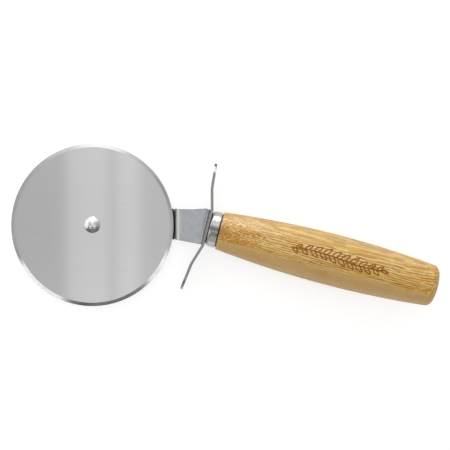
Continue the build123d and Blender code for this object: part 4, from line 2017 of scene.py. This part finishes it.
@dataclass
class Studio:
    """The pale floor, the room's light, the lamps and the camera."""

    view_centre: Triple = (8.29, 3.77, 0.0)  # the point in the picture's middle, in the cutter's frame
    view_width: float = 0.2494  # width of the picture at the cutter, in metres
    camera_distance: float = 1.15  # from that point, in metres
    sensor_width: float = 36.0  # of the camera, in millimetres
    clip: Pair = (0.01, 20.0)  # nearest and farthest distance that it sees, in metres
    # Where lamps look that don't look at the wheel, in the cutter's frame.
    cutter_middle: Triple = (-20.0, 0.0, 0.0)
    floor_half: float = 2.5  # half the floor's width, in metres
    floor_grey: Pair = (0.80, 0.48)  # the floor's grey where it lights the cutter, and where it is seen
    floor_glow: float = 0.67  # its own light where it is seen
    floor_roughness: float = 0.9  # of its surface
    room_level: float = 0.76  # the room's light in the middle
    # Each change of it: its direction, the cosines where it starts and stops, and its size.
    room_changes: tuple[tuple[RoomWay, float, float, float], ...] = (
        (RoomWay.UP, 0.25, 0.85, 0.70),
        (RoomWay.UP, -0.12, -0.36, -0.38),
        (RoomWay.UP, -0.38, -0.48, -0.17),
        (RoomWay.UP, -0.56, -0.72, 0.62),
        (RoomWay.RIGHT, 0.30, 0.44, -0.15),
        (RoomWay.CORNER, 0.38, 0.47, -0.20),
        (RoomWay.RIGHT, -0.045, -0.080, -0.10),
        (RoomWay.RIGHT, -0.22, -0.42, -0.14),
        (RoomWay.RIGHT, -0.62, -0.82, 0.60),
    )
    lamps: tuple[Softbox, ...] = (
        Softbox("lamp_top", (0.0, 0.556, 0.859), (0.34, 0.16), 0.62),
        Softbox("lamp_low_right", (0.408, -0.311, 0.884), (0.26, 0.15), 1.35, spin=56.5),
        Softbox("lamp_low_left", (-0.423, -0.415, 0.837), (0.42, 0.16), 1.6, spin=-41.0),
        Softbox("lamp_wide_strip", (-0.0425, 0.0, 0.6), (0.035, 0.5), 0.21),
        Softbox("lamp_thin_strip", (-0.0078, 0.0, 0.6), (0.020, 0.5), 0.20),
        Softbox("lamp_upper_panel", (-0.05, 0.13, 0.6), (0.17, 0.16), 0.10),
        Softbox("lamp_lower_panel", (-0.05, -0.13, 0.6), (0.17, 0.16), 0.12),
        Softbox("lamp_key", (-0.08, 1.0, 0.30), (0.8, 0.36), 1.8, on_wheel=False),
        Softbox("lamp_sheen", (0.0, 1.0, 0.21), (0.26, 0.24), 30.0, lights=False, on_wheel=False),
        Softbox("lamp_fill", (0.0, 0.0, 1.6), (1.2, 1.2), 0.9, reflected=False, on_wheel=False),
    )

    def floor(self) -> None:
        """Lays the pale floor, which is seen as white but for the cutter's shadow."""
        mesh = bpy.data.meshes.new("pale_floor")
        half = self.floor_half
        corners = [(-half, -half, 0), (half, -half, 0), (half, half, 0), (-half, half, 0)]
        mesh.from_pydata(corners, [], [(0, 1, 2, 3)])
        floor = bpy.data.objects.new("pale_floor", mesh)
        bpy.context.scene.collection.objects.link(floor)
        material, sketch, shader = principled("pale_floor")
        path = sketch.add("ShaderNodeLightPath").outputs
        seen = sketch.math("MAXIMUM", path["Is Camera Ray"], path["Is Glossy Ray"])
        seen = sketch.math("MAXIMUM", seen, path["Is Transmission Ray"])
        looks = {
            "Base Color": sketch.blend(seen, grey(self.floor_grey[0]), grey(self.floor_grey[1])),
            "Emission Color": sketch.blend(seen, grey(0.0), grey(self.floor_glow)),
            "Emission Strength": 1.0,
            "Roughness": self.floor_roughness,
            "Specular IOR Level": 0.0,
        }
        sketch.fill(shader, looks)
        mesh.materials.append(material)

    def room(self, tool: ToolFrame) -> None:
        """Lights the room, bright beside the cutter and above it, and dim at the picture's foot.

        Args:
            tool: The cutter's frame.
        """
        world = bpy.data.worlds.new("studio_room")
        bpy.context.scene.world = world
        world.use_nodes = True
        sketch = NodeSketch(world.node_tree)
        background = world.node_tree.nodes["Background"]
        ray = sketch.add("ShaderNodeTexCoord").outputs["Generated"]
        right, up, _ = tool.picture_axes()
        ways = {RoomWay.UP: up, RoomWay.RIGHT: right, RoomWay.CORNER: (up + right).normalized()}
        cosines = {way: sketch.measured("DOT_PRODUCT", ray, axis) for way, axis in ways.items()}
        level: Any = self.room_level
        for way, start, stop, change in self.room_changes:
            level = sketch.math("ADD", level, sketch.ramp(cosines[way], start, stop, 0.0, change))
        sketch.fill(background, {"Strength": level, "Color": grey(1.0)})

    def camera(self, tool: ToolFrame) -> None:
        """Hangs the camera over the cutter, square to the wheel, with the neck level.

        Args:
            tool: The cutter's frame.
        """
        camera = bpy.data.cameras.new("photo_camera")
        camera.sensor_width = self.sensor_width
        camera.lens = self.sensor_width * self.camera_distance / self.view_width
        camera.clip_start, camera.clip_end = self.clip
        piece = bpy.data.objects.new("photo_camera", camera)
        bpy.context.scene.collection.objects.link(piece)
        bpy.context.scene.camera = piece
        right, up, out = tool.picture_axes()
        turn = Matrix((right, up, out)).transposed().to_4x4()
        place = tool.point(*self.view_centre) + out * self.camera_distance
        piece.matrix_world = Matrix.Translation(place) @ turn

    def build(self, tool: ToolFrame, wheel: Vector) -> None:
        """Builds the floor, the room, the lamps and the camera.

        Args:
            tool: The cutter's frame.
            wheel: The wheel's middle, in the row frame.
        """
        self.floor()
        self.room(tool)
        for lamp in self.lamps:
            lamp.build(tool, wheel if lamp.on_wheel else tool.point(*self.cutter_middle))
        self.camera(tool)
        bpy.context.scene.view_settings.view_transform = "Standard"


def main() -> None:
    """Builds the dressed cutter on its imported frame."""
    logging.basicConfig(level=logging.INFO, format="%(message)s")
    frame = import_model()
    tool = ToolFrame.from_frame(frame)
    shop = Workshop(tool, MeshTrees())
    marks = MarkGroups()

    plain_steel = PLAIN_STEEL.material(marks, tool)
    nodes = frame["nodes"]
    wheel = CuttingWheel.from_frame(tool, nodes["cutting_wheel"])
    wheel.dress(shop, GROUND_FACE.material(marks, tool, NECK_SLANT), GROUND_BEVEL.material(marks, tool))
    axle = Axle.from_frame(tool, nodes["axle_rivet"], wheel)
    axle.dress(shop, BRIGHT_RIVET.material(marks, tool), plain_steel)
    NeckArm(wheel).dress(shop, MATT_NECK.material(marks, tool, NECK_SLANT))
    FingerGuard().dress(shop, SATIN_GUARD.material(marks, tool))
    handle = Handle.from_frame(tool, nodes["bamboo_handle"])
    handle.dress(shop, BRIGHT_FERRULE.material(marks, tool), BambooFinish().material(tool), plain_steel)
    BurntSprig(handle).dress(shop, BurntFinish().material(tool))
    Studio().build(tool, tool.point(*wheel.centre))


if __name__ == "__main__":
    main()
